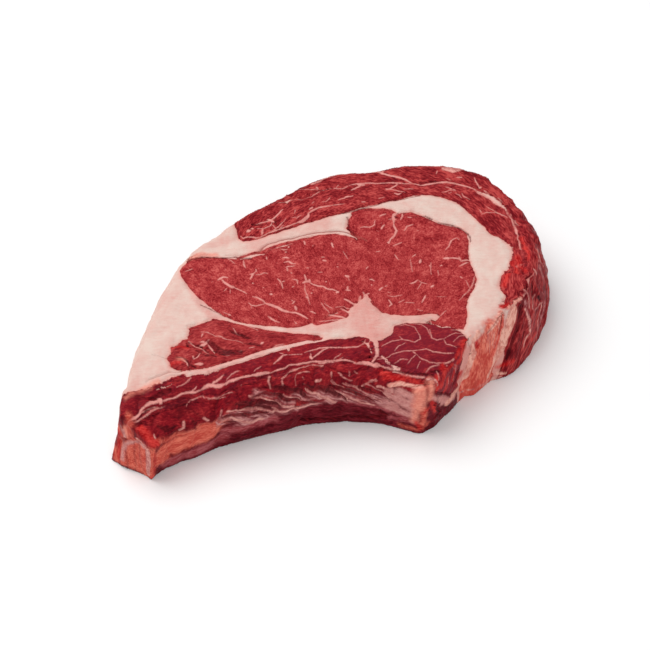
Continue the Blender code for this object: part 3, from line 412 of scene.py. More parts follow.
# Places that show in a coat of their own, in space.
PALE = (
    (0.81, (-99.8, -81.3, 27.4), (-99.5, -82, 22.7)),
    (0.36, (-101.1, -80.3, 28.9), (-100.4, -81.1, 25.5)),
    (0.52, (-85.6, -84.6, 26.5), (-84.9, -85.1, 25.7)),
    (0.52, (-72.1, -76.9, 25.9), (-71.7, -78.8, 24.4), (-73.9, -80.1, 22.7)),
    (0.72, (-63.3, -72.7, 25.3), (-61.8, -73.4, 23.9)),
    (0.56, (23.7, -57, 29.8), (25.9, -56.9, 30.6), (29.4, -57.2, 31.4), (33, -58, 31.4),
     (38, -58.8, 30.6)),
    (0.52, (40.8, -57, 32.7), (43.3, -56.5, 32.7), (45.4, -57.6, 30.9), (45.8, -58.3, 30.1)),
    (0.28, (70.7, -27.4, 33.1), (72.3, -27.7, 26.8), (72.3, -29.1, 20.7)),
    (0.28, (74.4, -25, 30.5), (74.4, -26.7, 23.6)),
    (0.36, (59.1, -41.4, 5.7), (64.6, -38.4, 4.8), (72.9, -31, 0.7), (79.1, -27.6, 0.8)),
    (0.28, (50.5, -48.3, 34.5), (51.9, -47.8, 34.4), (54.9, -45.1, 29.8), (54.7, -45.6, 26)),
    (0.24, (54, -46.7, 24.5), (53.8, -47.3, 21.3)),
    (0.24, (51.4, -50.2, 27.9), (51.4, -50.6, 22.9)),
    (0.63, (93.9, 4.7, 36.4), (90.9, -0.1, 35.6), (89.3, -4.3, 35.4)),
    (0.51, (90.1, -1.9, 37.1), (92.2, -2.4, 32), (93.1, -4.4, 27.8)),
    (0.46, (93.7, -9.9, 15.7), (92.1, -13.2, 13.8), (91, -15.7, 10.9)),
    (0.4, (94.5, -2.9, 26.3), (95.6, -0.1, 28), (97, 2.7, 28.2)),
    (0.4, (95.8, -2.7, 22.9), (98.3, 1.3, 22.5), (100.5, 4.3, 20.2)),
    (0.4, (99.4, 26.2, 36.3), (101, 22, 31.7), (103.9, 22.1, 23.9), (104.5, 18.9, 20.9)),
    (0.46, (96.5, 12.8, 37), (97.8, 12.4, 34)),
    (0.29, (92.9, 3.5, 37.4), (96.8, 12.4, 36.3)),
    (0.74, (75.8, -28.7, 3.9), (79.4, -27.2, 3.8)),
    (0.26, (74.7, -22.4, 36.1), (76.6, -22.8, 31.2), (76.2, -24.8, 26.4), (75, -26.8, 21.6)),
    (0.23, (71, -26.6, 34.5), (70.6, -28.8, 29.2)),
    (0.23, (72.9, -24.4, 35.9), (73.2, -25.8, 30.6), (72.7, -27.6, 25.6)),
    (0.4, (64.7, -38.3, 5.1), (72.3, -31.5, 2.5), (80.2, -27.1, 1.6)),
    (0.35, (-49.7, -64.1, 32.1), (-53.6, -63.8, 31.3), (-56.7, -64.3, 30.6), (-59.4, -65, 29.9)),
    (0.52, (-42, -64.9, 30.7), (-38.2, -64.4, 28.7), (-34.5, -63.2, 25.2), (-30.7, -62, 22.2),
     (-26.1, -60.5, 18.9), (-23.1, -59.5, 16.6)),
    (0.35, (-26.4, -60.5, 27.1), (-22.2, -59.2, 23.5), (-18.3, -58.1, 20.1), (-13.2, -56.9, 17)),
    (0.57, (-52.5, -69.4, 25), (-48.3, -67.8, 24.3), (-43.8, -66.3, 23.1), (-39.3, -64.8, 20.9),
     (-34.7, -63.3, 17.4), (-30.9, -62, 15.3)),
    (0.35, (-31.6, -62.2, 18.3), (-28.5, -61.1, 16), (-24.6, -60, 15.3)),
    (0.87, (-54.6, -70.3, 19.8), (-50.1, -68.2, 18.8), (-45.6, -66.9, 15.6), (-41.1, -65.3, 12.5),
     (-36.4, -63.8, 12.5)),
    (0.35, (-16.3, -57.6, 27.8), (-12, -56.6, 23.5), (-8.1, -56, 19.8), (-5, -55.7, 16.3)),
    (0.55, (-11.3, -56.5, 22.1), (-8.1, -56, 18.8), (-5, -55.7, 17.2)),
    (0.44, (-55.9, -70.9, 24.1), (-54.9, -70.1, 26.1)),
    (0.5, (-15.2, -57.3, 27.3), (-9.8, -56.3, 22), (-5.3, -55.7, 17.8), (-2.1, -55.5, 14.7)),
    (0.3, (-4, -53.3, 32.9), (-3.3, -55.6, 30.8), (-1.7, -55.5, 27.9), (1.5, -55.4, 26.8)),
    (0.35, (1.4, -55.4, 29.2), (6.4, -55.4, 26.5), (12.8, -55.7, 22), (20.1, -56.7, 16.9)),
    (0.45, (-1.7, -55.5, 23.4), (1.1, -55.4, 20.2), (3.8, -55.4, 16)),
    (0.65, (1, -55.4, 21.6), (5.6, -55.4, 17.5), (10.2, -55.6, 14.8), (15.7, -56, 14)),
    (0.3, (12.2, -55.7, 28.9), (16.3, -56.1, 27.6), (20.4, -56.7, 23.9), (24.1, -57.6, 19.3)),
    (0.76, (18.1, -56.3, 28.2), (21.7, -56.9, 26.9), (24.5, -57.6, 23.5)),
    (0.4, (10, -55.6, 27.4), (14.4, -55.4, 30.6), (17.1, -55, 31.1)),
    (0.65, (23.4, -57, 29.7), (28.3, -57.1, 31.2), (32.7, -57.9, 31.4), (38.1, -58.6, 30.8)),
    (0.79, (-13.8, 72.6, 38.6), (-9.7, 74.1, 38.6), (-7.1, 77.4, 38.4), (-3.9, 79.7, 38.3)),
    (0.39, (-3.9, 80, 38.3), (0.8, 81.1, 38.1), (7.1, 81.9, 37.9)),
    (1.84, (56, 85.3, 38.1), (59.6, 83.5, 38.2), (63.3, 84.7, 38.3)),
    (0.42, (43, 88.9, 37.7), (49.3, 88.5, 37.8), (55.6, 88.5, 37.9)),
    (0.79, (17.6, 83.5, 37.7), (22.9, 83, 37.7)),
    (1.32, (-88.6, -89.1, 20.1), (-88.7, -89.5, 12.3), (-89.6, -89.3, 3.9)),
    (0.53, (-94.7, -84.8, 25), (-91.9, -86.7, 23.3), (-88.8, -88.9, 19.8)),
    (0.58, (-30.7, -61.8, 16), (-26.9, -60.7, 15.5), (-22.2, -59.3, 15.2), (-17, -57.8, 14.9),
     (-11.3, -56.5, 15.2)),
    (0.3, (-26.7, -59.5, 31.4), (-27.1, -58, 32.5), (-26.7, -56.3, 33.4), (-24.8, -54.6, 34),
     (-21.6, -53.1, 34.4), (-17.8, -51.6, 34.8), (-13.1, -50.1, 34.8), (-8.5, -49.8, 34.9)),
    (0.22, (-20.6, -58.8, 30.6), (-21.1, -56.6, 32.4), (-20.6, -55, 33.3), (-17.4, -53.9, 33.5),
     (-14.1, -53.5, 33.4)),
    (0.21, (-17.3, -55.9, 32.3), (-16.9, -57.7, 30.1)),
    (0.39, (-32.3, -56.3, 34.1), (-32.5, -58.8, 32.8), (-32.2, -61.2, 31.2)),
    (0.55, (-11.3, -56.1, 31.4), (-8.9, -55.9, 31.2)),
    (0.36, (-3.8, -52.9, 33.1), (-3.3, -54.5, 32.1), (-3.8, -55.6, 30.5), (-2.3, -55.5, 27.5)),
    (0.39, (-0, -52.9, 33.1), (0.9, -54.4, 32), (2.8, -55.1, 31.4), (4.7, -55.4, 30.9)),
    (0.3, (3.7, -51.6, 33.7), (3.7, -53.1, 32.7)),
    (0.24, (6.6, -51.6, 33.7), (7.5, -52.7, 32.8)),
    (0.22, (2.3, -55.4, 29.5), (4.7, -55.4, 28.1), (8, -55.5, 26.7)),
    (0.22, (10.8, -55.6, 27.6), (14.1, -55.8, 30), (17.8, -55.3, 30.9)),
    (0.34, (50.8, -49.3, 33.9), (54.6, -45.6, 28.4)),
    (0.29, (45.4, -53.2, 34.1), (46.3, -56.4, 31.4)),
    (0.72, (91.2, -6.8, 28.8), (92.2, -8.1, 24), (93, -9.6, 19.3), (93.7, -9.8, 16)),
    (0.58, (100.4, 3.4, 19.6), (100.1, 1.2, 15.7), (99.6, -1.1, 11.8), (98.7, -3.5, 10)),
)
# Orange periosteum and sawn bone, and a painted pink sheen on the rounded corner beside the rib's
# cut end.
AMBER_AND_SHEEN = (
    (1.96, (-64.8, -75.2, 20.2), (-61.5, -73.5, 19.6), (-57.7, -71.6, 19.3)),
    (1.31, (-65.1, -75.3, 14.9), (-61, -73.2, 14.8)),
    (0.72, (28.9, -59.4, 3.1), (34, -61.4, 2.9), (36.9, -62.4, 2.7), (39.7, -62.3, 4),
     (41.9, -60.8, 5.6)),
    (3.62, (67.8, -31.9, 28.2), (68.3, -33.3, 19.8), (67.6, -35.1, 13), (65.4, -37.8, 9.2)),
    (2.62, (72.5, -28.4, 22.6), (72.3, -30.2, 13.6), (72, -31.4, 7)),
    (1.61, (63.3, -38.4, 12.2), (61.1, -39.3, 5.9)),
    (5.14, (72.5, -25.6, 33.4), (71.2, -28.9, 26.2), (69.4, -32.3, 19), (68.2, -34.7, 12.2)),
    (2.57, (65, -33.8, 28.5), (65.5, -36.2, 19.5), (65, -37.9, 9.5)),
    (5.26, (-82.1, -85.2, 15.1), (-74.6, -80.2, 14.1), (-65.5, -75.5, 14.2), (-60, -72.7, 15.2)),
    (2.63, (-59.9, -72.7, 17.4), (-54.3, -70.2, 18)),
    (3.16, (-84.6, -87.1, 10.8), (-81.2, -84, 9.9)),
    (2.37, (-105.5, -79.2, 8.3), (-105, -80.1, 3.4)),
    (2.37, (-101.8, -79.6, 17.7), (-102.3, -81.2, 10.9), (-101.4, -82.3, 4)),
    (2.37, (-98.2, -83.2, 17.8), (-98.5, -83.7, 9.5), (-97.5, -84.6, 3.9)),
    (2.37, (-94.7, -85.3, 18.9), (-95, -85.7, 10.5), (-94.1, -86.5, 3.3)),
    (2.37, (-91.2, -87.4, 20.1), (-91.5, -87.7, 11.6), (-90.8, -88.6, 2.2)),
    (1.84, (-86.4, -90.3, 20.9), (-87.1, -90.2, 11.8), (-87.8, -90.1, 2.6)),
    (2.11, (-103, -79.4, 24.8), (-101.3, -80.8, 22.2)),
    (2.11, (-97.7, -82.5, 29.4), (-97.3, -83.1, 22.8), (-93.5, -85.8, 21.8)),
    (2.11, (67.1, -31.5, 32.6), (70.1, -27.7, 33.4), (73.1, -24.4, 35.5)),
    (1.58, (65.7, -33.1, 30.1), (66.4, -34, 25.4), (65.7, -35.8, 20.2)),
    (1.58, (39.7, -61.9, 17.6), (40, -61.9, 11.7), (39.2, -62.3, 6.2)),
    (1.58, (-97.1, -79.3, 34.1), (-96.1, -82.7, 31.8), (-97.5, -82.9, 26.2)),
    (1.32, (-83.6, -86.4, 24), (-79.4, -83.2, 21.8), (-74.2, -80.2, 20), (-68.4, -77.1, 19.4)),
)
# Bright red tissue, and painted highlights on the lit tops of lobes and ridges.
BRIGHT_AND_HIGHLIGHT = (
    (2.01, (-91.4, -84.3, 29.5), (-89, -86, 27.1), (-86.3, -87.5, 24.5), (-84.4, -87.3, 23.7)),
    (1.41, (-90.3, -86.1, 27.7), (-85.9, -88.5, 23.5)),
    (0.89, (-102.7, -79.6, 23.8), (-104.1, -79.5, 15.7), (-104.5, -80, 7.2), (-104.2, -80.5, 4.4)),
    (0.81, (-88.5, -90.2, 2.3), (-87.5, -89.7, 2.2)),
    (0.4, (-85.7, -89.2, 18.8), (-85.6, -88.4, 12.7), (-86.4, -88.8, 6.8), (-87.5, -89.7, 2.8)),
    (0.89, (20.9, -55.1, 31.3), (25.9, -55.1, 32.6), (30.5, -55.5, 33.5), (33.7, -56.3, 32.7),
     (37.9, -58.1, 32)),
    (1.61, (59.4, -36.9, 37), (59.7, -38.8, 34.2), (58.4, -40.7, 30.3), (55.6, -44, 30.7)),
    (1.01, (47.4, -51.8, 34.1), (49.6, -51.8, 33), (52.8, -47.9, 32.4)),
    (0.6, (39.3, -62, 14.5), (42.1, -60.5, 17.2)),
    (0.72, (36.3, -62.1, 8.3), (38.3, -62.3, 3.5)),
    (1.21, (64.8, -33.8, 33.5), (65.7, -33.6, 30.1)),
    (2, (79.3, -13.6, 37.4), (81.2, -12.8, 37.4)),
    (1.03, (65.2, -33.3, 33.4), (64.5, -34.7, 30.7)),
    (1.03, (95.4, -9.6, 9.8), (98.1, -5.1, 8.1), (99.5, -2.6, 7.8)),
    (1.32, (78.4, -27.1, 8.2), (82.5, -25, 8.8), (85.1, -23.1, 8.1)),
    (0.92, (87.9, 19.1, 38.5), (88.5, 13.7, 38.2)),
    (0.92, (90.4, 13, 38.2), (91.6, 10.3, 38.1)),
    (1.32, (80.2, 1.3, 37.4), (83, 5.9, 37.6)),
    (1.58, (49.7, -51.6, 33.1), (47.5, -56, 27.4)),
    (1.05, (54.5, -45.6, 29.8), (53.4, -47.8, 22.2)),
    (1.58, (58.8, -37.9, 36.8), (57.4, -41.6, 31.8)),
    (1.32, (48.3, -50.2, 34.3), (50.2, -51.5, 32.9)),
    (1.58, (45.4, -55.9, 32.2), (46, -58.1, 27.6)),
    (1.32, (42.9, -60, 21.1), (45.8, -58.3, 12.6)),
    (1.05, (51.1, -50.8, 27.1), (50.5, -51.8, 19.6)),
    (1.05, (86.1, 15.8, 38.2), (87.1, 9.1, 37.9)),
    (1.05, (92.4, 25.3, 38.6), (93.4, 19.6, 38.6)),
    (1.05, (91.6, 33, 38.1), (92.1, 28.3, 38.5)),
    (0.79, (-79.4, -51.6, 38), (-75.3, -50.9, 37.9)),
    (0.79, (-77.7, -41.6, 38.1), (-71.6, -42.3, 38.1)),
    (1.58, (20.1, -52.7, 33.6), (24.3, -54.8, 32.4), (29.4, -55.8, 32.8)),
    (1.05, (55.2, -44.2, 34.6), (57.2, -41.2, 36.2)),
    (1.05, (58.7, -41.2, 20.4), (56.4, -44.1, 15.1)),
)
# Painted sheen: the mauve glow of light on the rib's wet membrane.
MAUVE_SHEEN = (
    (2.37, (-82, -84.3, 5), (-72.9, -79.2, 4.5), (-63.7, -74.6, 4.8), (-54.4, -70.2, 6.2)),
    (2.11, (-54.2, -70.1, 10.6), (-42.6, -65.8, 10.5), (-30.8, -62, 11)),
    (1.16, (8.4, -55.5, 13.9), (15.7, -56, 13.1), (22.1, -57.2, 12.2), (28.9, -59.2, 12),
     (34.7, -61.3, 11.8)),
    (1.26, (24, -57.8, 6.8), (31.3, -60.2, 7.9), (35.7, -61.8, 8.5)),
    (2.37, (22, -57.2, 13.4), (27.7, -58.8, 12.4), (32.8, -60.6, 12.4)),
)
# Dark tissue and painted shade: hollows, grooves between bundles and the shaded foot of the
# membrane, each also carved in a little.
DARK_AND_SHADE = (
    (1.13, (56, -44, 24.7), (55.8, -44.5, 20.3), (54.4, -46.7, 18.4)),
    (0.34, (19.3, -56.5, 22.3), (21.1, -56.9, 20.2), (23, -57.3, 18.5)),
    (1.01, (19.2, -56.6, 9.7), (21.4, -57.1, 8.5)),
    (0.48, (20.5, -52, 34.3), (24.1, -52.3, 34.6), (29.4, -54, 34.4), (36.5, -54.9, 34.4),
     (40.8, -55.3, 34.3), (43.7, -55.1, 33.5)),
    (0.6, (42.3, -54.3, 34.8), (46.7, -52.6, 33.9)),
    (1.6, (89, -7.9, 31.5), (88.3, -11.6, 27.7), (86.8, -15.4, 24), (85.2, -19, 20.1),
     (83.1, -22.6, 16.1), (81.3, -25, 12.5)),
    (0.86, (95.7, 6.1, 33.9), (96.2, 1.2, 28.2)),
    (0.86, (98.3, 3.2, 25.3), (99.7, 4.1, 22.1)),
    (0.86, (105, 13.5, 13.8), (104.3, 7.9, 7), (102.4, 2.9, 5.9)),
    (0.86, (91.1, -12.9, 18.2), (89.6, -16.3, 13.9)),
    (0.57, (95.1, 9.4, 37.8), (93.2, 4.6, 37.7)),
    (0.46, (78.5, -17.6, 37.1), (77.8, -20.8, 32.9), (77.2, -23.5, 28.1)),
    (1.11, (-18.6, -58.2, 4.1), (-9.9, -56.3, 4), (-0.7, -55.4, 3.3), (6.7, -55.4, 4),
     (13.1, -55.8, 4), (21.3, -57, 6.6)),
    (0.91, (18.5, -56.5, 8.8), (22.7, -57.4, 7.8)),
    (0.35, (-71.8, -38.6, 38.2), (-66.2, -39.9, 38.2), (-64.7, -42.6, 38), (-68.5, -48, 37.9),
     (-70.4, -51.4, 37.6), (-71, -53.8, 37.2)),
    (0.93, (-56.3, -44.5, 37.9), (-50.7, -45.2, 37.8), (-46.6, -44.2, 37.8)),
    (1.09, (-87, -70.2, 34.8), (-83.3, -67.4, 35.1), (-79.7, -65, 35.4)),
    (0.39, (-91.1, -78.2, 32.5), (-88.6, -75.7, 33), (-86.1, -73.6, 32.9)),
    (0.31, (-26.6, 39.7, 38.1), (-23.3, 41.4, 38.2)),
    (0.31, (-17.4, 43.7, 38.3), (-13.2, 44.9, 38.3)),
    (0.48, (4.7, 47.9, 37.9), (4.4, 42.7, 38.2), (5.4, 38.5, 38.1)),
    (0.49, (28.5, 48.4, 38), (29.7, 47.9, 37.9)),
    (0.53, (4.2, 48.2, 38.4), (3.9, 45.1, 37.1), (4.8, 38.9, 38.1), (8.1, 36, 38)),
    (0.37, (50.5, 45.7, 37.2), (56.5, 44.1, 37.4), (62.8, 39.6, 37.5), (66, 34.2, 37.7),
     (65.3, 31.3, 37.7)),
    (0.26, (12.9, 52.8, 38.5), (19, 53.3, 38.4), (26.2, 52.8, 38.2)),
    (0.32, (38.4, 49.2, 37.7), (44, 50.1, 37.6), (47.2, 48, 37.5)),
    (0.32, (-9.6, 46.7, 38.3), (-1.9, 49.6, 38.1), (4.7, 51.7, 38.5), (10.9, 53.5, 38.6),
     (18.1, 56.6, 38.6), (26.4, 60.1, 38.1), (34.7, 62.2, 37.9), (42.1, 64.8, 37.7)),
    (0.39, (-74.7, 16.2, 38.1), (-72.6, 17.8, 38.2), (-68.1, 19.2, 38.1), (-61.4, 19.1, 37.8),
     (-56.8, 19.3, 37.7), (-51.9, 20.2, 37.4), (-47.8, 19, 37.3), (-43.7, 18.5, 37.2)),
    (0.32, (-66.8, -14.1, 38.7), (-61.8, -17.2, 38.7), (-55.1, -21.7, 38.3)),
    (0.47, (-32.5, 47.6, 38.2), (-31.9, 43.2, 38.1)),
    (0.53, (42.5, 75.4, 37.8), (50.8, 75.2, 38)),
    (0.53, (-44.1, 43, 38), (-39, 43, 38)),
    (0.53, (-59.7, -44, 37.9), (-54.5, -44.6, 37.9), (-48.9, -44.5, 37.8)),
    (0.42, (-72.7, -39.2, 38.2), (-70.6, -42.3, 38.1)),
    (0.63, (-71.7, -49, 37.9), (-69.2, -52.3, 37.4), (-66.8, -53.2, 37)),
    (0.42, (-63.6, -42.8, 38), (-61, -46.4, 37.7)),
    (0.92, (46.2, -57.8, 14.1), (48.1, -55.2, 7.4), (45.5, -58.6, 7.7)),
    (0.53, (44.5, -59.1, 17.9), (47.7, -55.7, 14.3)),
    (0.42, (-76.9, -46.9, 38), (-73.2, -47.5, 37.9), (-70.7, -50.1, 37.7), (-70.1, -52.9, 37.3)),
    (0.53, (-67.7, -44.1, 38), (-62.9, -46.4, 37.8), (-58.2, -47.4, 37.5)),
)
# Creases between muscles: carved in as grooves and darkened with painted shade.
CREASE = (
    (0.39, (-43.8, 22.4, 37.2), (-41.5, 23.3, 37.1), (-40, 25.3, 37.1), (-38.2, 27.7, 37.2),
     (-35.5, 29.5, 37.3), (-33.2, 30.2, 37.4), (-30.1, 31.5, 37.5), (-27.1, 32.4, 37.7),
     (-24, 32.9, 37.8), (-20.9, 34.1, 37.9), (-15.6, 35.9, 38.1), (-9.6, 36.9, 38.2),
     (0, 37.7, 38.2), (4.1, 36.7, 38.1), (8.1, 35.3, 38), (11.6, 33.5, 38), (14.1, 31.7, 38)),
    (0.21, (-56.9, 21.6, 37.6), (-52, 21.5, 37.4), (-43.8, 22.1, 37.2)),
    (0.15, (-89.3, -61.7, 37.2), (-85.3, -58.9, 37.5), (-80.1, -56.7, 37.6), (-74, -55.7, 37.1)),
)
CREAM = (
    (2.85, (84.8, -12.5, 33.2), (83.2, -16.8, 29.4), (81.3, -20.7, 25.8)),
    (2.4, (81.3, -20.7, 25.8), (78.8, -24.7, 20.1), (76.4, -27.2, 14.9)),
    (1.43, (76.4, -27.2, 14.9), (74.5, -28.7, 10.3), (72.6, -30.9, 6.3)),
    (0.97, (82.3, -13.3, 36.7), (85.5, -9.6, 35.9), (87.8, -6.4, 35.7)),
    (0.92, (62.3, -34, 37.5), (63.2, -35.5, 33.4)),
    (1.21, (63.2, -35.5, 33.4), (64.3, -35.8, 27.4)),
    (1.47, (64.3, -35.8, 27.4), (62.6, -38, 21.2), (61, -39.2, 15.3)),
    (1.97, (61, -39.2, 15.3), (57.7, -42.8, 11.3), (54.1, -47.8, 10.4)),
    (1.84, (54.1, -47.8, 10.4), (51.5, -50.9, 9.7)),
    (1.05, (23, -57.2, 29.1), (28, -57.2, 30.9), (33.6, -58.3, 31.1), (37.8, -59.4, 30.5)),
    (0.66, (77.1, -28.1, 4.8), (81.9, -26.3, 2.8)),
    (1.32, (66.3, -31, 37), (63.8, -34.3, 35)),
    (1.32, (78.2, -17.6, 37.4), (75.2, -22.3, 35.4), (71.2, -26.4, 33.5)),
)
FASCIA = (
    (3.95, (-55.2, -70.6, 19.2), (-46.9, -67.3, 19), (-36.7, -63.9, 18.5), (-25.9, -60.4, 18.7)),
    (3.16, (-25.9, -60.4, 23.1), (-16.5, -57.6, 22), (-7.1, -55.9, 21.5), (2.4, -55.4, 19.4)),
    (3.42, (2.4, -55.4, 22.3), (10.5, -55.6, 19.7), (19.1, -56.5, 17.1)),
    (1.58, (-39.6, -63.1, 31.3), (-30.5, -61.9, 26.3)),
    (1.18, (-48.5, -67.9, 13.4), (-42.5, -65.8, 13.1), (-36.4, -63.8, 12.9), (-30.7, -62, 14.3),
     (-25.1, -60.1, 14.4), (-18.9, -58.3, 14.4), (-13.2, -56.9, 15), (-7.5, -56, 15.7)),
    (1.16, (-7.5, -55.8, 15.8), (1.5, -55.4, 16.1), (8.2, -55.5, 15.5), (15.3, -56, 15.7)),
    (1.45, (100.8, 7.3, 22.7), (102.4, 6.2, 15.2), (101.5, 1.7, 9.8), (99.5, -2.7, 5.6)),
    (1.05, (90.6, -4.7, 32.4), (92.3, -6.8, 26.1), (93.1, -9.1, 19.8)),
    (0.79, (99.2, 19.2, 34.8), (102.3, 17.6, 26.6)),
)
ASHEN = (
    (3.02, (23.5, -57.4, 24.6), (28.3, -58.7, 21.2), (33.4, -60.6, 17.9)),
    (2.42, (28.1, -58.5, 26.6), (33.1, -60.3, 25.8), (35, -61.1, 21.3)),
    (1.81, (19.8, -56.6, 15.4), (24.6, -57.8, 13.9), (30, -59.5, 13.2), (34.3, -61.2, 12.4)),
    (1.05, (-102, -81.9, 5.7), (-101.8, -81.6, 11.3), (-99.8, -82.3, 16.7), (-96.5, -84, 20.6),
     (-93, -86.1, 22.5), (-90.4, -87.8, 21.3)),
    (1.32, (43.8, -59.5, 23.5), (48.6, -54.5, 16.9)),
    (1.32, (48.8, -54.3, 12.9), (53.1, -49.1, 10.2)),
    (1.32, (84.7, -11.1, 35.5), (82.6, -14.8, 33.8)),
    (2.89, (24.5, -57.6, 23.4), (29.3, -59, 21.5), (33.1, -60.5, 19.5)),
    (2.11, (21.4, -57, 18.3), (26.6, -58.4, 16.3)),
    (2.11, (48.1, -55.2, 17), (52, -50.4, 9.9), (55.8, -45.5, 8.6)),
)
# Coral-pink tissue, and one painted highlight on a lobe of the left lean.
CORAL_AND_HIGHLIGHT = (
    (1.05, (-73.9, 18.7, 38.2), (-70.5, 20.7, 38.2), (-67.8, 21.4, 38.1)),
    (0.79, (-67.8, 21.2, 38.1), (-61.4, 21.1, 37.8)),
    (2.89, (37.3, -61.1, 29.7), (37.9, -61.6, 25.3), (36.8, -61.8, 19)),
    (1.58, (36, -61.7, 15.9), (35.3, -61.7, 9.2)),
    (0.53, (73, -23.8, 37), (71.8, -26.9, 31.2), (70.7, -30, 23.8)),
    (0.58, (75.6, -21, 36.8), (74.9, -24.6, 30.7), (73.3, -27.6, 22.7)),
    (0.42, (70, -27.5, 35.3), (69.3, -30, 29.6)),
    (0.53, (77.5, -17.6, 37.4), (76.9, -21.8, 32.8)),
    (0.79, (-98.9, -81.7, 29.1), (-98.7, -82.4, 24.1)),
    (0.47, (-75.9, -48.2, 38), (-73.1, -48.7, 37.9)),
    (0.58, (-98, -71.6, 36.3), (-95.5, -68.7, 36.5)),
    (0.63, (-93.7, -67.4, 36.4), (-89.3, -64.2, 36.9), (-84, -60.9, 36.9)),
    (1.58, (42, -57.5, 31.9), (42.5, -59.9, 29), (41.8, -60.5, 24)),
)
# Painted shade: the dark gaps between the left lean's lobes and between the fascia's ridges, also
# carved in a little.
GAP_SHADE = (
    (0.47, (-56.2, -71, 17.1), (-52.1, -69.3, 16.2), (-48, -67.7, 15.7)),
    (1.37, (-56.9, -71.3, 21.9), (-51.4, -69, 21.4), (-46, -67, 20), (-39.5, -64.8, 17.4),
     (-33.1, -62.7, 14.5)),
    (1.71, (-53, -67.8, 28.6), (-46.6, -67.2, 28.3), (-41.1, -65.4, 25.7), (-33.8, -63, 22.2),
     (-24.5, -60, 18.5)),
    (1.05, (-47.6, -67.6, 25.8), (-39.4, -64.8, 22.1), (-30.2, -61.8, 16.9)),
    (0.34, (-29.7, -61.6, 18.3), (-25, -60.1, 16.7)),
    (1.42, (-40.1, -64.6, 30.5), (-33.6, -62.9, 28.9), (-27.2, -60.8, 24.7), (-19.8, -58.5, 19.8),
     (-11.8, -56.6, 15.8)),
    (0.42, (-22.6, -59.4, 19.9), (-14.7, -57.2, 15)),
    (1.89, (-34.5, -61, 31.8), (-27.1, -60.5, 30.8), (-20.7, -58.8, 27), (-12.7, -56.8, 20.3)),
    (1.89, (-17.8, -58, 30), (-10.3, -56.3, 27), (-4.7, -55.7, 23.4), (3.4, -55.4, 15.7)),
    (1.42, (-6.6, -55.8, 27.2), (2.9, -55.4, 24.5), (9.5, -55.5, 20.3), (17.2, -56.2, 16)),
    (1.05, (4.7, -55.4, 27.4), (12.3, -55.7, 25.2), (17.5, -56.3, 22.6)),
    (0.79, (-78.8, -83, 24.5), (-75.8, -81.2, 22.7), (-73.1, -79.7, 23)),
    (1.58, (-63.3, -37.9, 38.3), (-57.9, -41.9, 38), (-51.3, -44, 37.9), (-43.8, -42.6, 37.8)),
    (0.79, (-53.2, -31, 38.4), (-47.4, -33.4, 38.2), (-41.6, -35.7, 37.9)),
    (0.79, (-45.3, -38.3, 38), (-40.6, -38.8, 37.8), (-36.8, -40, 37.7)),
    (0.92, (-84.2, -80.3, 28.8), (-80.1, -81.7, 26.2), (-73.9, -79.8, 24.6)),
    (0.92, (-70.4, -74.2, 27.2), (-67.2, -76.4, 24.1), (-64.5, -74.4, 24.5)),
)

LEANS = (
    "eye_muscle", "cap_muscle", "outer_cap_muscle", "edge_lean", "left_lean",
    "upper_rib_lean", "lower_rib_lean", "chine_lean",
)
RIBSIDE = ("upper_rib_lean", "lower_rib_lean", "rib_bone", "chine_lean")
NAMES = {
    "eye_muscle": "eye_meat",
    "cap_muscle": "cap_meat",
    "outer_cap_muscle": "outer_cap_meat",
    "edge_lean": "edge_meat",
    "left_lean": "left_meat",
    "upper_rib_lean": "upper_rib_meat",
    "lower_rib_lean": "lower_rib_meat",
    "chine_lean": "chine_meat",
    "fat": "fat_and_seams",
    "rib_bone": "rib_and_membrane",
}

# How deep red each lean is, how purple, and how orange.
TINTS = {
    "eye_muscle": (0.0, 0.0, 0.0),
    "cap_muscle": (0.45, 0.0, 0.0),
    "outer_cap_muscle": (0.55, 0.0, 0.0),
    "edge_lean": (0.2, 0.0, 1.0),
    "left_lean": (0.35, 0.0, 0.0),
    "upper_rib_lean": (1.0, 0.3, 0.0),
    "lower_rib_lean": (1.0, 0.1, 0.0),
    "chine_lean": (0.85, 0.65, 0.0),
}

# Muscles that almost touch: the lean closes over the fat between them.
CLOSED_SEAMS = (
    ("cap_muscle", "outer_cap_muscle"),
    ("upper_rib_lean", "lower_rib_lean"),
    ("lower_rib_lean", "chine_lean"),
)

# Where the grain of a muscle fans out from, in plan, and at what distance it is true to size.
EYE_FAN = (12.0, -70.0, 85.0)
CAP_ARC = (12.0, 10.0, 62.0)
RIB_ARC = (30.0, -335.0, 270.0)


# ---------------------------------------------------------------- meshes

def places_of(mesh):
    """A mesh's vertices, in millimetres."""
    places = np.empty(len(mesh.vertices) * 3, np.float32)
    mesh.vertices.foreach_get("co", places)
    return places.reshape(-1, 3).astype(float) / MM


def move_to(mesh, places):
    mesh.vertices.foreach_set("co", (places * MM).astype(np.float32).ravel())
    mesh.update()


def face_marks(mesh):
    marks = np.empty(len(mesh.polygons), np.int32)
    mesh.polygons.foreach_get("material_index", marks)
    return marks


def edge_faces(mesh):
    """Each face's three edges; the mesh is all triangles."""
    edges = np.empty(len(mesh.loops), np.int32)
    mesh.loops.foreach_get("edge_index", edges)
    return edges.reshape(-1, 3)


def tree_of(mesh):
    corners = [vertex.co / MM for vertex in mesh.vertices]
    return BVHTree.FromPolygons(corners, [tuple(face.vertices) for face in mesh.polygons])


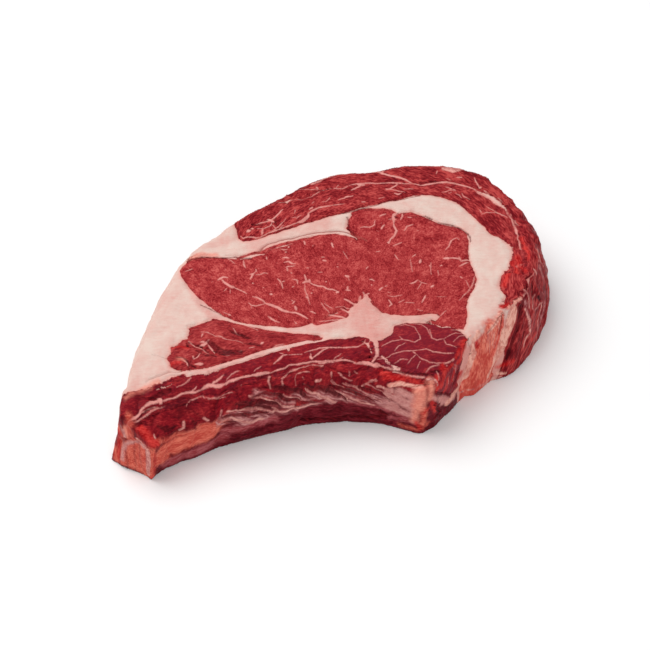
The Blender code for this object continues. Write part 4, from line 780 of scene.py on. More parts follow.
def copy_of_node(node):
    """A merged copy of a node's solid, to be worked on."""
    bpy.ops.object.select_all(action="DESELECT")
    source = frame["nodes"][node]
    source.select_set(True)
    bpy.context.view_layer.objects.active = source
    bpy.ops.object.duplicate()
    piece = bpy.context.active_object
    piece.name = piece.data.name = NAMES[node]
    bpy.ops.object.parent_clear(type="CLEAR_KEEP_TRANSFORM")
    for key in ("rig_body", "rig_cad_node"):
        del piece[key]
    bpy.ops.mesh.customdata_custom_splitnormals_clear()
    bpy.ops.object.mode_set(mode="EDIT")
    bpy.ops.mesh.select_all(action="SELECT")
    bpy.ops.mesh.remove_doubles(threshold=1e-5)
    bpy.ops.mesh.quads_convert_to_tris()
    bpy.ops.object.mode_set(mode="OBJECT")
    return piece


def mark_faces(piece, neighbours):
    """Notes on each face whether it is seen, lies against a neighbour, or is underneath."""
    for face in piece.data.polygons:
        corners = [piece.data.vertices[i].co / MM for i in face.vertices]
        centre = sum(corners, Vector()) / 3
        covered = True
        for spot in (centre, *(centre.lerp(corner, 0.8) for corner in corners)):
            start = spot + face.normal * 0.02
            hits = (tree.ray_cast(start, face.normal, NEIGHBOUR_REACH)[0] for tree in neighbours)
            if not any(hit is not None for hit in hits):
                covered = False
                break
        if covered:
            face.material_index = INNER
        elif centre.z < 0.05 and face.normal.z < -0.9:
            face.material_index = UNDER
        else:
            face.material_index = SEEN


def at_thin_strokes(places, in_fat):
    """Which places lie at a thin stroke or a vein, which the fat shows in lean patches alone."""
    plan = fibre_plan(places)
    depth = stroke_depth(plan, VEINS, reach=1.0)
    if in_fat:
        depth = np.minimum(depth, stroke_depth(plan, LEAN_PATCHES, reach=1.0))
    return np.maximum(depth, stroke_depth(places, THIN_STROKES, reach=1.0)) > -STROKE_MARGIN


def refine(piece, seen_edge, in_fat):
    """Cuts a piece's long edges in half until each is short enough for what it shows."""
    mesh = piece.data
    longest = np.array((seen_edge, INNER_EDGE, UNDER_EDGE))
    bpy.ops.object.select_all(action="DESELECT")
    piece.select_set(True)
    bpy.context.view_layer.objects.active = piece
    bpy.context.tool_settings.mesh_select_mode = (False, True, False)
    for _ in range(REFINING_ROUNDS):
        places = places_of(mesh)
        ends = np.empty(len(mesh.edges) * 2, np.int32)
        mesh.edges.foreach_get("vertices", ends)
        ends = ends.reshape(-1, 2)
        lengths = np.linalg.norm(places[ends[:, 0]] - places[ends[:, 1]], axis=1)
        limits = np.full(len(mesh.edges), 1e9)
        np.minimum.at(limits, edge_faces(mesh).ravel(), np.repeat(longest[face_marks(mesh)], 3))
        long_ones = lengths > limits
        if not long_ones.any():
            short = np.flatnonzero((limits == seen_edge) & (lengths > STROKE_EDGE))
            middles = (places[ends[short, 0]] + places[ends[short, 1]]) / 2
            long_ones[short[at_thin_strokes(middles, in_fat)]] = True
        if not long_ones.any():
            break
        mesh.vertices.foreach_set("select", np.zeros(len(mesh.vertices), bool))
        mesh.polygons.foreach_set("select", np.zeros(len(mesh.polygons), bool))
        mesh.edges.foreach_set("select", long_ones)
        bpy.ops.object.mode_set(mode="EDIT")
        bpy.ops.mesh.subdivide(number_cuts=1)
        bpy.ops.mesh.select_all(action="SELECT")
        bpy.ops.mesh.quads_convert_to_tris(quad_method="SHORTEST_DIAGONAL", ngon_method="BEAUTY")
        bpy.ops.mesh.beautify_fill(angle_limit=math.radians(4))
        bpy.ops.object.mode_set(mode="OBJECT")
    bpy.context.tool_settings.mesh_select_mode = (True, False, False)


# ---------------------------------------------------------------- measuring

def cloud(places, size, seed):
    """Smooth random values from -1 to 1, in lumps of a size in millimetres along X, Y and Z."""
    cells = places / np.array(size, float) + 31.7 * seed
    base = np.floor(cells).astype(np.int64)
    share = cells - base
    share = share * share * (3 - 2 * share)
    total = np.zeros(len(places))
    for corner in itertools.product((0, 1), repeat=3):
        at = base + corner
        mixed = (at[:, 0] * 73856093) ^ (at[:, 1] * 19349663) ^ (at[:, 2] * 83492791)
        mixed = ((mixed ^ (mixed >> 13)) * 1274126177) & 0x7FFFFFFF
        weight = np.where(corner, share, 1 - share).prod(axis=1)
        total += weight * (mixed / 0x3FFFFFFF - 1)
    return total


def smooth_step(low, high, values):
    share = np.clip((values - low) / (high - low), 0, 1)
    return share * share * (3 - 2 * share)


def fibre_plan(places):
    """Where the fibre through each place comes out on the top face."""
    return places[:, :2] - FIBRE_SLANT * (1 - places[:, 2:] / THICKNESS)


def stroke_depth(spots, strokes, thinning=0.0, reach=3.0):
    """How deep each spot lies inside the nearest stroke, in millimetres; negative outside."""
    depth = np.full(len(spots), -reach)
    for half, *line in strokes:
        line = np.array(line, float)
        low = line.min(axis=0) - half - reach
        high = line.max(axis=0) + half + reach
        near = np.flatnonzero(((spots > low) & (spots < high)).all(axis=1))
        part = spots[near]
        count = len(line) - 1
        best = np.full(len(near), -reach)
        for index, (start, end) in enumerate(zip(line, line[1:])):
            run = end - start
            share = np.clip(((part - start) @ run) / (run @ run), 0, 1)
            away = np.linalg.norm(part - start - share[:, None] * run, axis=1)
            taper = 1 - thinning * np.abs(2 * (index + share) / count - 1) ** 3
            best = np.maximum(best, half * taper - away)
        depth[near] = np.maximum(depth[near], best)
    return depth


def flush_of(places):
    """How far the fat is flushed with pink: near strokes, and down the walls at the chine's end."""
    spots = fibre_plan(places)
    height = places[:, 2]
    flush = 0.95 * smooth_step(36.0, 31.0, height) * smooth_step(-0.5, 3.0, height)
    flush *= smooth_step(30.0, 55.0, places[:, 0])
    for amount, half, *line in ROSY:
        fade = 2.0 + 1.2 * half
        depth = stroke_depth(spots, [(half, *line)], reach=fade)
        flush = np.maximum(flush, amount * smooth_step(-fade, 0.6 * half, depth))
    return flush


def nearest_distance(places, tree, reach):
    """Distance from each place to a solid's surface, at most reach."""
    found = np.full(len(places), float(reach))
    for index, place in enumerate(places):
        distance = tree.find_nearest(place, reach)[3]
        if distance is not None:
            found[index] = distance
    return found


def grain_run(node, places):
    """Each place along and across its muscle's fibres, and down them, drawn out less."""
    plan = fibre_plan(places)
    if node in ("cap_muscle", "outer_cap_muscle"):
        x, y, true_at = CAP_ARC
        away = plan - (x, y)
        along = np.arctan2(away[:, 1], away[:, 0]) * true_at / 3.2
        across = np.hypot(away[:, 0], away[:, 1])
    elif node == "eye_muscle":
        x, y, true_at = EYE_FAN
        away = plan - (x, y)
        along = np.hypot(away[:, 0], away[:, 1]) / 1.3
        across = np.arctan2(away[:, 0], away[:, 1]) * true_at
    elif node == "rib_bone":
        x, y, true_at = RIB_ARC
        away = places[:, :2] - (x, y)
        along = (np.arctan2(away[:, 1], away[:, 0]) - math.pi / 2) * true_at
        along *= 0.2 + 0.5 * smooth_step(38.0, 56.0, places[:, 0])
        return np.column_stack((along, np.hypot(away[:, 0], away[:, 1]), places[:, 2]))
    else:
        turn = math.radians(16.0)
        along = (plan[:, 0] * math.cos(turn) + plan[:, 1] * math.sin(turn)) / 2.6
        across = plan[:, 1] * math.cos(turn) - plan[:, 0] * math.sin(turn)
    return np.column_stack((along, across, places[:, 2] / 6.0))


def streak_run(node, places):
    """Each place along and across the streaks of membrane: down the walls, and along the rib."""
    x, y, z = places.T
    if node in ("rib_bone", "left_lean", "upper_rib_lean", "lower_rib_lean"):
        rise = 0.73 * y + 0.68 * z
        tilt = math.radians(22.0)
        along = x * math.cos(tilt) - rise * math.sin(tilt)
        across = rise * math.cos(tilt) + x * math.sin(tilt)
        return np.column_stack((along / 22.0, across, y / 14.0))
    return np.column_stack((np.arctan2(y, x) * 95.0, np.hypot(x, y) / 3.0, z / 22.0))


# ---------------------------------------------------------------- shaping

def rim_samples(pieces):
    """Places along the steak's outer edges, with the way that the edge points."""
    samples = []
    for piece in pieces:
        mesh = piece.data
        faces_at = {}
        for face in mesh.polygons:
            if face.material_index != INNER:
                for key in face.edge_keys:
                    faces_at.setdefault(key, []).append(face.normal)
        for (first, second), normals in faces_at.items():
            if len(normals) != 2 or normals[0].dot(normals[1]) > 0.75:
                continue
            start = mesh.vertices[first].co / MM
            end = mesh.vertices[second].co / MM
            outward = (normals[0] + normals[1]).normalized()
            steps = max(1, round((end - start).length))
            samples += [(start.lerp(end, k / steps), outward) for k in range(steps + 1)]
    tree = KDTree(len(samples))
    for index, (place, outward) in enumerate(samples):
        tree.insert(place, index)
    tree.balance()
    return tree, samples


def skin_samples(pieces):
    """Places all over the steak's outside, with the way that each faces."""
    samples = []
    for piece in pieces:
        for face in piece.data.polygons:
            if face.material_index == SEEN:
                corners = [piece.data.vertices[i].co / MM for i in face.vertices]
                centre = sum(corners, Vector()) / 3
                samples += [(centre.lerp(corner, share), face.normal.copy())
                            for corner in corners for share in (0.15, 0.7)]
    tree = KDTree(len(samples))
    for index, (place, _) in enumerate(samples):
        tree.insert(place, index)
    tree.balance()
    return tree, samples


def outward_of(place, tree, samples):
    """The way that the steak's outside faces near a place, the same for every piece there."""
    total = Vector()
    for _, index, away in tree.find_n(place, 7):
        total += samples[index][1] / (away + 0.8)
    return np.array(total.normalized())


def rim_radius(place):
    """How round the outer edge is: least at the saws' cuts, most round the fat."""
    to_cut = smooth_step(-70.0, -40.0, place[1])
    return 1.2 + 2.3 * to_cut if place[2] > 5.0 else 1.2


def round_rim(places, tree, samples):
    for index, place in enumerate(places):
        _, sample, away = tree.find(place)
        radius = rim_radius(place)
        if away < radius:
            places[index] -= (
                np.array(samples[sample][1]) * 0.41 * radius * (1 - away / radius) ** 1.7
            )


def carve(places, relief, tree, samples):
    """Moves places in or out of the steak's outside by their relief."""
    for index in np.flatnonzero(np.abs(relief) > 0.02):
        places[index] += outward_of(places[index], tree, samples) * relief[index]


def ridge(values):
    return 1 - np.abs(values)


def lump_shares(places):
    """How lumpy the lean is beside the rib, and all together with the left and the cap's right."""
    plan = fibre_plan(places)
    x, y = plan.T
    beside_rib = smooth_step(-40.0, -52.0, y - 0.17 * x) * smooth_step(35.0, 5.0, x)
    right = smooth_step(70.0, 84.0, x) * smooth_step(-30.0, 5.0, y)
    left = np.exp(-((x + 66) / 16) ** 4 - ((y + 42) / 14) ** 4)
    return beside_rib, np.clip(beside_rib + right + 0.6 * left, 0, 1)


def lumps_of(places, seam, beside_rib, lumpy):
    """A lumpy muscle's bundles: how far each place lies in a groove, and how high on a bundle."""
    fibres = np.column_stack((fibre_plan(places), places[:, 2]))
    broad = cloud(fibres, (9.0, 5.0, 60.0), 31)
    fine = cloud(fibres, (4.0, 2.6, 30.0), 32)
    in_lean = smooth_step(-0.2, 0.8, seam)
    groove = np.maximum(
        smooth_step(0.84, 0.99, ridge(broad)), 0.4 * smooth_step(0.9, 1.0, ridge(fine))
    )
    dome = np.abs(broad) ** 0.7 * 1.6 + np.abs(fine) ** 0.7 * 0.5 - 0.9
    lobes = smooth_step(-0.4, 2.2, stroke_depth(fibres[:, :2], LOBES))
    return in_lean * beside_rib * groove, in_lean * (lumpy * dome + 0.9 * lobes)


def roughen(places, seam, lumpy, dome):
    """Lumps, grain and the furrow along each seam, the same on both sides of a seam."""
    lift = smooth_step(0.3, 4.0, places[:, 2])
    for seed, size, height in ((1, 13.0, 0.45), (2, 6.0, 0.28), (3, 2.6, 0.16), (4, 1.3, 0.07)):
        for axis in range(3):
            moved = cloud(places, (size,) * 3, seed * 3 + axis) * height
            places[:, axis] += moved * lift
    fibres = np.column_stack((fibre_plan(places), places[:, 2]))
    for axis in range(2):
        flutes = cloud(fibres, (3.4, 3.4, 30.0), 21 + axis) * 0.35
        flutes += cloud(fibres, (1.5, 1.5, 16.0), 24 + axis) * 0.16
        scallops = cloud(fibres, (5.5, 5.5, 12.0), 26 + axis) * lumpy
        places[:, axis] += (
            flutes * (0.4 + 0.6 * lift) * (0.5 + lumpy) + scallops * (0.5 + 0.6 * lift)
        )
    top = smooth_step(20.0, 26.0, places[:, 2])
    places[:, 2] += top * dome
    unevenly = smooth_step(-0.3, 0.6, cloud(places, (6.0, 6.0, 6.0), 41))
    places[:, 2] -= top * 0.22 * unevenly * np.exp(-(seam / 0.6) ** 2)


def crease_edges(mesh):
    """Shades a mesh smooth but for the edges where it turns down between its neighbours."""
    mesh.shade_smooth()
    marks = face_marks(mesh)
    edges = edge_faces(mesh)
    inner, outer = np.zeros((2, len(mesh.edges)), bool)
    inner[edges[marks == INNER].ravel()] = True
    outer[edges[marks != INNER].ravel()] = True
    sharp = mesh.attributes.new("sharp_edge", "BOOLEAN", "EDGE")
    sharp.data.foreach_set("value", inner & outer)


# ---------------------------------------------------------------- pieces

def put(mesh, name, values):
    kind = "FLOAT_VECTOR" if values.ndim == 2 else "FLOAT"
    attribute = mesh.attributes.new(name, kind, "POINT")
    attribute.data.foreach_set(
        "vector" if values.ndim == 2 else "value", values.astype(np.float32).ravel()
    )


# How far from a seam lean and fat are measured, and half the gap that the solids keep.
SEAM_REACH = 6.0
HALF_GAP = 0.15
# Two muscles closer than this meet without fat between them, and how far they then overlap.
CLOSED_FROM = 5.0
CLOSED_AT = 3.2
CLOSED_OVERLAP = 0.65

VEINS = EYE_VEINS + STAR_SPIKES + CAP_VEINS + RIB_VEINS + CHINE_VEINS
THIN_STROKES = PALE + GAP_SHADE + DARK_AND_SHADE + CREASE
COAT_STROKES = {
    "amber_and_sheen": AMBER_AND_SHEEN, "mauve_sheen": MAUVE_SHEEN, "ashen": ASHEN, "bright_and_highlight": BRIGHT_AND_HIGHLIGHT, "coral_and_highlight": CORAL_AND_HIGHLIGHT, "dark_and_shade": DARK_AND_SHADE,
    "fascia": FASCIA, "pale": PALE, "cream": CREAM,
}
solids = {node: tree_of(frame["nodes"][node].data) for node in NAMES}
pieces = {}
for node in NAMES:
    pieces[node] = copy_of_node(node)
    mark_faces(pieces[node], [tree for other, tree in solids.items() if other != node])
rim = rim_samples(pieces.values())
skin = skin_samples(pieces.values())

for node, piece in pieces.items():
    bpy.ops.object.select_all(action="DESELECT")
    piece.select_set(True)
    bpy.context.view_layer.objects.active = piece
    bpy.ops.object.mode_set(mode="EDIT")
    bpy.ops.mesh.select_all(action="SELECT")
    bpy.ops.transform.shrink_fatten(value=GAP_CLOSING * MM)
    bpy.ops.object.mode_set(mode="OBJECT")
    refine(piece, WIDE_EDGE if node in ("eye_muscle", "fat") else SEEN_EDGE, node == "fat")
    mesh = piece.data
    places = places_of(mesh)
    places[:, 2] = np.maximum(places[:, 2], 0.0)
    spots = fibre_plan(places)
    count = len(places)

    if node == "fat":
        away = np.array([nearest_distance(places, solids[lean], SEAM_REACH) for lean in LEANS])
        nearest = away.min(axis=0)
        tints = np.array([TINTS[lean] for lean in LEANS])[away.argmin(axis=0)]
        seam = HALF_GAP - nearest
        for pair in CLOSED_SEAMS:
            first, second = (away[LEANS.index(lean)] for lean in pair)
            closed = smooth_step(CLOSED_FROM, CLOSED_AT, first + second)
            seam = np.maximum(
                seam, closed * ((first + second) / 2 + CLOSED_OVERLAP) - np.minimum(first, second)
            )
    elif node in LEANS:
        seam = nearest_distance(places, solids["fat"], SEAM_REACH) - HALF_GAP
        tints = np.tile(TINTS[node], (count, 1))
        for pair in CLOSED_SEAMS:
            if node in pair:
                partner = pair[0] if node == pair[1] else pair[1]
                gap = nearest_distance(places, solids[partner], SEAM_REACH)
                closed = smooth_step(CLOSED_FROM, CLOSED_AT, gap)
                seam = np.maximum(seam, closed * (gap / 2 + CLOSED_OVERLAP))
    else:
        seam = np.full(count, SEAM_REACH)
        tints = np.tile((0.9, 0.2, 0.0), (count, 1))
    seam = np.maximum(seam, stroke_depth(spots, LEAN_PATCHES, reach=SEAM_REACH))
    veins = stroke_depth(spots, VEINS, thinning=0.5)
    if node in RIBSIDE:
        veins -= 3 * smooth_step(34.5, 31.5, places[:, 2]) * smooth_step(-52.0, -44.0, places[:, 0])
    beside_rib, lumpy = lump_shares(places)
    # The grooves between bundles are darkened with painted shade in the finish; the domes raise the
    # bundles.
    cleft_shade, dome = lumps_of(places, seam, beside_rib, lumpy)
    measured = {
        "seam": seam,
        "vein": veins,
        "rosy": flush_of(places),
        **{coat: stroke_depth(places, strokes) for coat, strokes in COAT_STROKES.items()},
        "crease": stroke_depth(places, CREASE),
        "gap": stroke_depth(places, GAP_SHADE, thinning=0.9),
        "cleft_shade": cleft_shade,
        "lumpy": lumpy,
        "streak": streak_run(node, places),
        "deep": tints[:, 0],
        "purple": tints[:, 1],
        "ember": tints[:, 2],
        "grain": grain_run(node, places),
    }
    for name, values in measured.items():
        put(mesh, name, values)

    relief = 0.35 * smooth_step(-0.7, 0.5, np.maximum(measured["pale"], measured["cream"]))
    relief += 0.2 * smooth_step(-0.8, 1.5, measured["fascia"])
    relief -= 0.6 * smooth_step(-0.5, 0.7, np.maximum(measured["dark_and_shade"], measured["gap"]))
    relief -= 0.6 * smooth_step(-0.9, 0.2, measured["crease"])
    relief += 0.1 * smooth_step(-0.4, 0.3, measured["vein"])
    relief *= smooth_step(0.5, 3.0, places[:, 2])
    carve(places, relief, *skin)
    round_rim(places, *rim)
    roughen(places, seam, lumpy, dome)
    places[:, 2] = np.maximum(places[:, 2], 0.0)
    move_to(mesh, places)
    crease_edges(mesh)
    mesh.polygons.foreach_set("material_index", np.zeros(len(mesh.polygons), np.int32))
    mesh.materials.clear()
    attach(piece, "root")
    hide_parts(node)


# ---------------------------------------------------------------- finishes

def node_in(tree, kind, **settings):
    node = tree.nodes.new("ShaderNode" + kind)
    for name, value in settings.items():
        setattr(node, name, value)
    return node


def feed(tree, socket, value):
    """Puts a value or another node's output into a socket."""
    if isinstance(value, bpy.types.NodeSocket):
        tree.links.new(value, socket)
    else:
        socket.default_value = value


def sum_up(tree, operation, first, second=0.0, third=0.0, clamp=False):
    node = node_in(tree, "Math", operation=operation, use_clamp=clamp)
    for socket, value in zip(node.inputs, (first, second, third)):
        feed(tree, socket, value)
    return node.outputs[0]


def about_middle(tree, value, contrast, base):
    """Adds a noise to a base, by how far it is from its middle."""
    return sum_up(tree, "MULTIPLY_ADD", sum_up(tree, "SUBTRACT", value, 0.5), contrast, base)


def blend_colours(tree, share, first, second, kind="MIX"):
    node = node_in(tree, "Mix", data_type="RGBA", blend_type=kind)
    feed(tree, node.inputs["Factor"], share)
    for name, value in (("A", first), ("B", second)):
        socket = next(s for s in node.inputs if s.name == name and s.type == "RGBA")
        feed(tree, socket, value)
    return next(s for s in node.outputs if s.type == "RGBA")


def ramp(tree, value, low, high, to_low=0.0, to_high=1.0):
    node = node_in(tree, "MapRange", interpolation_type="SMOOTHSTEP")
    for name, given in (
        ("Value", value), ("From Min", low), ("From Max", high),
        ("To Min", to_low), ("To Max", to_high),
    ):
        feed(tree, node.inputs[name], given)
    return node.outputs["Result"]


def attribute_in(tree, name, output="Fac"):
    return node_in(tree, "Attribute", attribute_name=name).outputs[output]


def object_places(tree, turn=0.0, stretch=(1.0, 1.0, 1.0)):
    """Places on the piece in millimetres, turned about Z in degrees and stretched."""
    places = node_in(tree, "TexCoord").outputs["Object"]
    mapping = node_in(tree, "Mapping")
    tree.links.new(places, mapping.inputs["Vector"])
    mapping.inputs["Rotation"].default_value = (0.0, 0.0, math.radians(turn))
    mapping.inputs["Scale"].default_value = tuple(1000.0 / s for s in stretch)
    return mapping.outputs["Vector"]


def noise_in(tree, places, size, detail=2.0, roughness=0.5, distortion=0.0):
    node = node_in(tree, "TexNoise")
    tree.links.new(places, node.inputs["Vector"])
    feed(tree, node.inputs["Scale"], sum_up(tree, "DIVIDE", 1.0, size))
    node.inputs["Detail"].default_value = detail
    node.inputs["Roughness"].default_value = roughness
    node.inputs["Distortion"].default_value = distortion
    return node.outputs["Fac"]


def effect(name, inputs, outputs):
    """A new shader node group and its two ends."""
    tree = bpy.data.node_groups.new(name, "ShaderNodeTree")
    kinds = {"value": "NodeSocketFloat", "colour": "NodeSocketColor", "places": "NodeSocketVector"}
    for label, value in inputs:
        if value == "places":
            tree.interface.new_socket(label, in_out="INPUT", socket_type=kinds["places"])
            continue
        kind = kinds["colour" if isinstance(value, tuple) else "value"]
        tree.interface.new_socket(label, in_out="INPUT", socket_type=kind).default_value = value
    for label, kind in outputs:
        tree.interface.new_socket(label, in_out="OUTPUT", socket_type=kinds[kind])
    return tree, tree.nodes.new("NodeGroupInput"), tree.nodes.new("NodeGroupOutput")


def ragged_edge():
    """A mask with an uneven edge, from a distance in millimetres to the edge."""
    tree, given, out = effect(
        "ragged edge",
        (("Distance", 0.0), ("Lump", 1.0), ("Raggedness", 0.4), ("Softness", 0.2)),
        (("Mask", "value"),),
    )
    places = object_places(tree, stretch=(1.0, 1.0, 2.5))
    lumps = noise_in(tree, places, given.outputs["Lump"], detail=3.0, roughness=0.65)
    wander = sum_up(tree, "MULTIPLY", sum_up(tree, "SUBTRACT", lumps, 0.5), 2.0)
    edge = sum_up(
        tree, "MULTIPLY_ADD", wander, given.outputs["Raggedness"], given.outputs["Distance"]
    )
    below = sum_up(tree, "MULTIPLY", given.outputs["Softness"], -1.0)
    tree.links.new(ramp(tree, edge, below, given.outputs["Softness"]), out.inputs["Mask"])
    return tree


def lean_grain():
    """The ends and sides of muscle fibres: a tone for colour and a height for relief."""
    tree, given, out = effect(
        "lean grain",
        (("Run", "places"), ("Bundle", 2.2), ("Fibre", 0.65), ("Contrast", 1.0)),
        (("Tone", "value"), ("Height", "value")),
    )
    run = given.outputs["Run"]
    bundles = noise_in(
        tree, run, given.outputs["Bundle"], detail=3.0, roughness=0.6, distortion=0.6
    )
    fibres = noise_in(tree, run, given.outputs["Fibre"], detail=2.0, roughness=0.6)
    blotches = noise_in(tree, object_places(tree), 9.0, detail=2.0)
    ends = node_in(tree, "TexVoronoi", feature="SMOOTH_F1")
    tree.links.new(run, ends.inputs["Vector"])
    feed(tree, ends.inputs["Scale"], sum_up(tree, "DIVIDE", 0.9, given.outputs["Bundle"]))
    cells = node_in(tree, "SeparateColor")
    tree.links.new(ends.outputs["Color"], cells.inputs["Color"])
    tone = about_middle(tree, bundles, 1.0, 0.5)
    tone = about_middle(tree, cells.outputs["Red"], 0.3, tone)
    tone = about_middle(tree, fibres, 1.6, tone)
    tone = about_middle(tree, blotches, 0.5, tone)
    tone = sum_up(tree, "SUBTRACT", tone, 0.5)
    tone = sum_up(tree, "MULTIPLY_ADD", tone, given.outputs["Contrast"], 0.5, clamp=True)
    tree.links.new(tone, out.inputs["Tone"])
    tree.links.new(sum_up(tree, "MULTIPLY_ADD", bundles, 1.5, fibres), out.inputs["Height"])
    return tree


def fine_marbling():
    """Threads and flecks of fat finer than the veins."""
    tree, given, out = effect(
        "fine marbling",
        (("Run", "places"), ("Mesh Size", 3.4), ("Amount", 0.5)),
        (("Mask", "value"),),
    )
    run = given.outputs["Run"]
    wander = node_in(tree, "TexNoise")
    tree.links.new(run, wander.inputs["Vector"])
    wander.inputs["Scale"].default_value = 0.5
    bent = node_in(tree, "VectorMath", operation="MULTIPLY_ADD")
    tree.links.new(wander.outputs["Color"], bent.inputs[0])
    bent.inputs[1].default_value = (3.0, 3.0, 3.0)
    tree.links.new(run, bent.inputs[2])
    net = node_in(tree, "TexVoronoi", feature="DISTANCE_TO_EDGE")
    tree.links.new(bent.outputs[0], net.inputs["Vector"])
    feed(tree, net.inputs["Scale"], sum_up(tree, "DIVIDE", 1.0, given.outputs["Mesh Size"]))
    thread = ramp(tree, net.outputs["Distance"], 0.02, 0.10, 1.0, 0.0)
    limit = sum_up(tree, "SUBTRACT", 0.84, sum_up(tree, "MULTIPLY", given.outputs["Amount"], 0.38))
    patches = noise_in(tree, run, 4.5, detail=2.0)
    shown = ramp(tree, patches, limit, sum_up(tree, "ADD", limit, 0.08))
    flecks = noise_in(tree, run, 1.1, detail=1.0, distortion=0.6)
    flecks = ramp(tree, flecks, limit, sum_up(tree, "ADD", limit, 0.12))
    mask = sum_up(tree, "MAXIMUM", sum_up(tree, "MULTIPLY", thread, shown), flecks)
    tree.links.new(mask, out.inputs["Mask"])
    return tree


def fat_bloom():
    """The clouded colour of raw fat, from cream to pink."""
    tree, given, out = effect(
        "fat bloom",
        (("Cream", (0.78, 0.66, 0.57, 1.0)), ("Pink", (0.80, 0.45, 0.40, 1.0)), ("Rosy", 0.2)),
        (("Colour", "colour"), ("Height", "value")),
    )
    places = object_places(tree, turn=-20.0, stretch=(1.0, 1.8, 1.0))
    clouds = noise_in(tree, places, 7.0, detail=4.0, roughness=0.6, distortion=0.4)
    strands = object_places(tree, turn=-8.0, stretch=(4.0, 1.0, 1.0))
    fine = noise_in(tree, strands, 1.1, detail=2.0, roughness=0.6)
    share = about_middle(tree, clouds, 1.2, given.outputs["Rosy"])
    share = sum_up(
        tree, "MULTIPLY_ADD", sum_up(tree, "SUBTRACT", fine, 0.5), 0.6, share, clamp=True
    )
    colour = blend_colours(tree, share, given.outputs["Cream"], given.outputs["Pink"])
    tree.links.new(colour, out.inputs["Colour"])
    tree.links.new(sum_up(tree, "MULTIPLY_ADD", clouds, 2.0, fine), out.inputs["Height"])
    return tree


def wet_film():
    """Uneven moisture: a roughness that changes in patches."""
    tree, given, out = effect(
        "wet film",
        (("Driest", 0.55), ("Wettest", 0.3), ("Patch", 4.0)),
        (("Roughness", "value"),),
    )
    patches = noise_in(tree, object_places(tree), given.outputs["Patch"], detail=3.0, roughness=0.6)
    rough = ramp(tree, patches, 0.3, 0.7, given.outputs["Driest"], given.outputs["Wettest"])
    tree.links.new(rough, out.inputs["Roughness"])
    return tree


EFFECTS = {
    "ragged edge": ragged_edge(),
    "lean grain": lean_grain(),
    "fine marbling": fine_marbling(),
    "fat bloom": fat_bloom(),
    "wet film": wet_film(),
}


def effect_in(tree, name, **values):
    node = node_in(tree, "Group", node_tree=EFFECTS[name])
    for label, value in values.items():
        feed(tree, node.inputs[label.replace("_", " ")], value)
    return node.outputs


EYE = ((0.20, 0.007, 0.011, 1.0), (0.37, 0.033, 0.035, 1.0), (0.55, 0.100, 0.088, 1.0))
DEEP = ((0.085, 0.001, 0.005, 1.0), (0.215, 0.006, 0.011, 1.0), (0.42, 0.030, 0.030, 1.0))
EMBER = ((0.50, 0.050, 0.036, 1.0), (0.65, 0.10, 0.075, 1.0), (0.80, 0.25, 0.185, 1.0))
MEMBRANE = ((0.055, 0.001, 0.004, 1.0), (0.13, 0.006, 0.012, 1.0), (0.25, 0.022, 0.032, 1.0))
PURPLE = (0.185, 0.012, 0.026, 1.0)
VEIN_FAT = (0.70, 0.29, 0.255, 1.0)
SEAM_FAT = (0.71, 0.32, 0.275, 1.0)
FAT_CREAM = (0.69, 0.525, 0.46, 1.0)
FAT_PINK = (0.63, 0.27, 0.235, 1.0)
SHADOW_RED = (0.055, 0.001, 0.004, 1.0)
# Painted shade for the creases between muscles.
CREASE_SHADE_RED = (0.30, 0.065, 0.055, 1.0)

# The coats laid over a piece where strokes mark them: attribute, darker and lighter colour,
# size of lump, raggedness, softness, and how far the coat breaks up into streaks.
COATS = (
    # Painted sheen on the membrane.
    ("mauve_sheen", (0.27, 0.028, 0.034, 1.0), (0.45, 0.11, 0.12, 1.0), 2.6, 1.4, 1.8, 0.0),
    # Orange tissue and bone, with a painted sheen at one corner.
    ("amber_and_sheen", (0.50, 0.052, 0.038, 1.0), (0.74, 0.18, 0.12, 1.0), 2.0, 1.5, 1.7, 0.0),
    ("ashen", (0.49, 0.175, 0.16, 1.0), (0.64, 0.29, 0.26, 1.0), 1.6, 1.0, 1.1, 0.0),
    # Coral tissue, with one painted highlight.
    ("coral_and_highlight", (0.69, 0.19, 0.14, 1.0), (0.84, 0.31, 0.225, 1.0), 2.0, 1.1, 2.0, 0.0),
    # Bright red tissue and painted highlights.
    ("bright_and_highlight", (0.38, 0.006, 0.008, 1.0), (0.63, 0.050, 0.042, 1.0), 1.4, 1.2, 1.2, 0.0),
    # Dark tissue and painted shade.
    ("dark_and_shade", (0.040, 0.001, 0.003, 1.0), (0.15, 0.006, 0.010, 1.0), 1.3, 0.6, 0.5, 0.2),
    ("fascia", (0.30, 0.075, 0.078, 1.0), (0.60, 0.26, 0.25, 1.0), 2.4, 0.8, 1.2, 0.55),
    # Painted shade in the gaps between bundles and ridges.
    ("gap", (0.055, 0.003, 0.005, 1.0), (0.19, 0.012, 0.016, 1.0), 1.6, 0.5, 0.55, 0.25),
    ("pale", (0.44, 0.13, 0.12, 1.0), (0.74, 0.35, 0.30, 1.0), 1.1, 0.4, 0.45, 0.0),
    ("cream", (0.60, 0.20, 0.16, 1.0), (0.84, 0.44, 0.35, 1.0), 1.3, 0.5, 0.6, 0.0),
)


def by_tone(tree, tone, colours):
    low, middle, high = colours
    light = blend_colours(tree, ramp(tree, tone, 0.45, 1.0), middle, high)
    return blend_colours(tree, ramp(tree, tone, 0.55, 0.0), light, low)


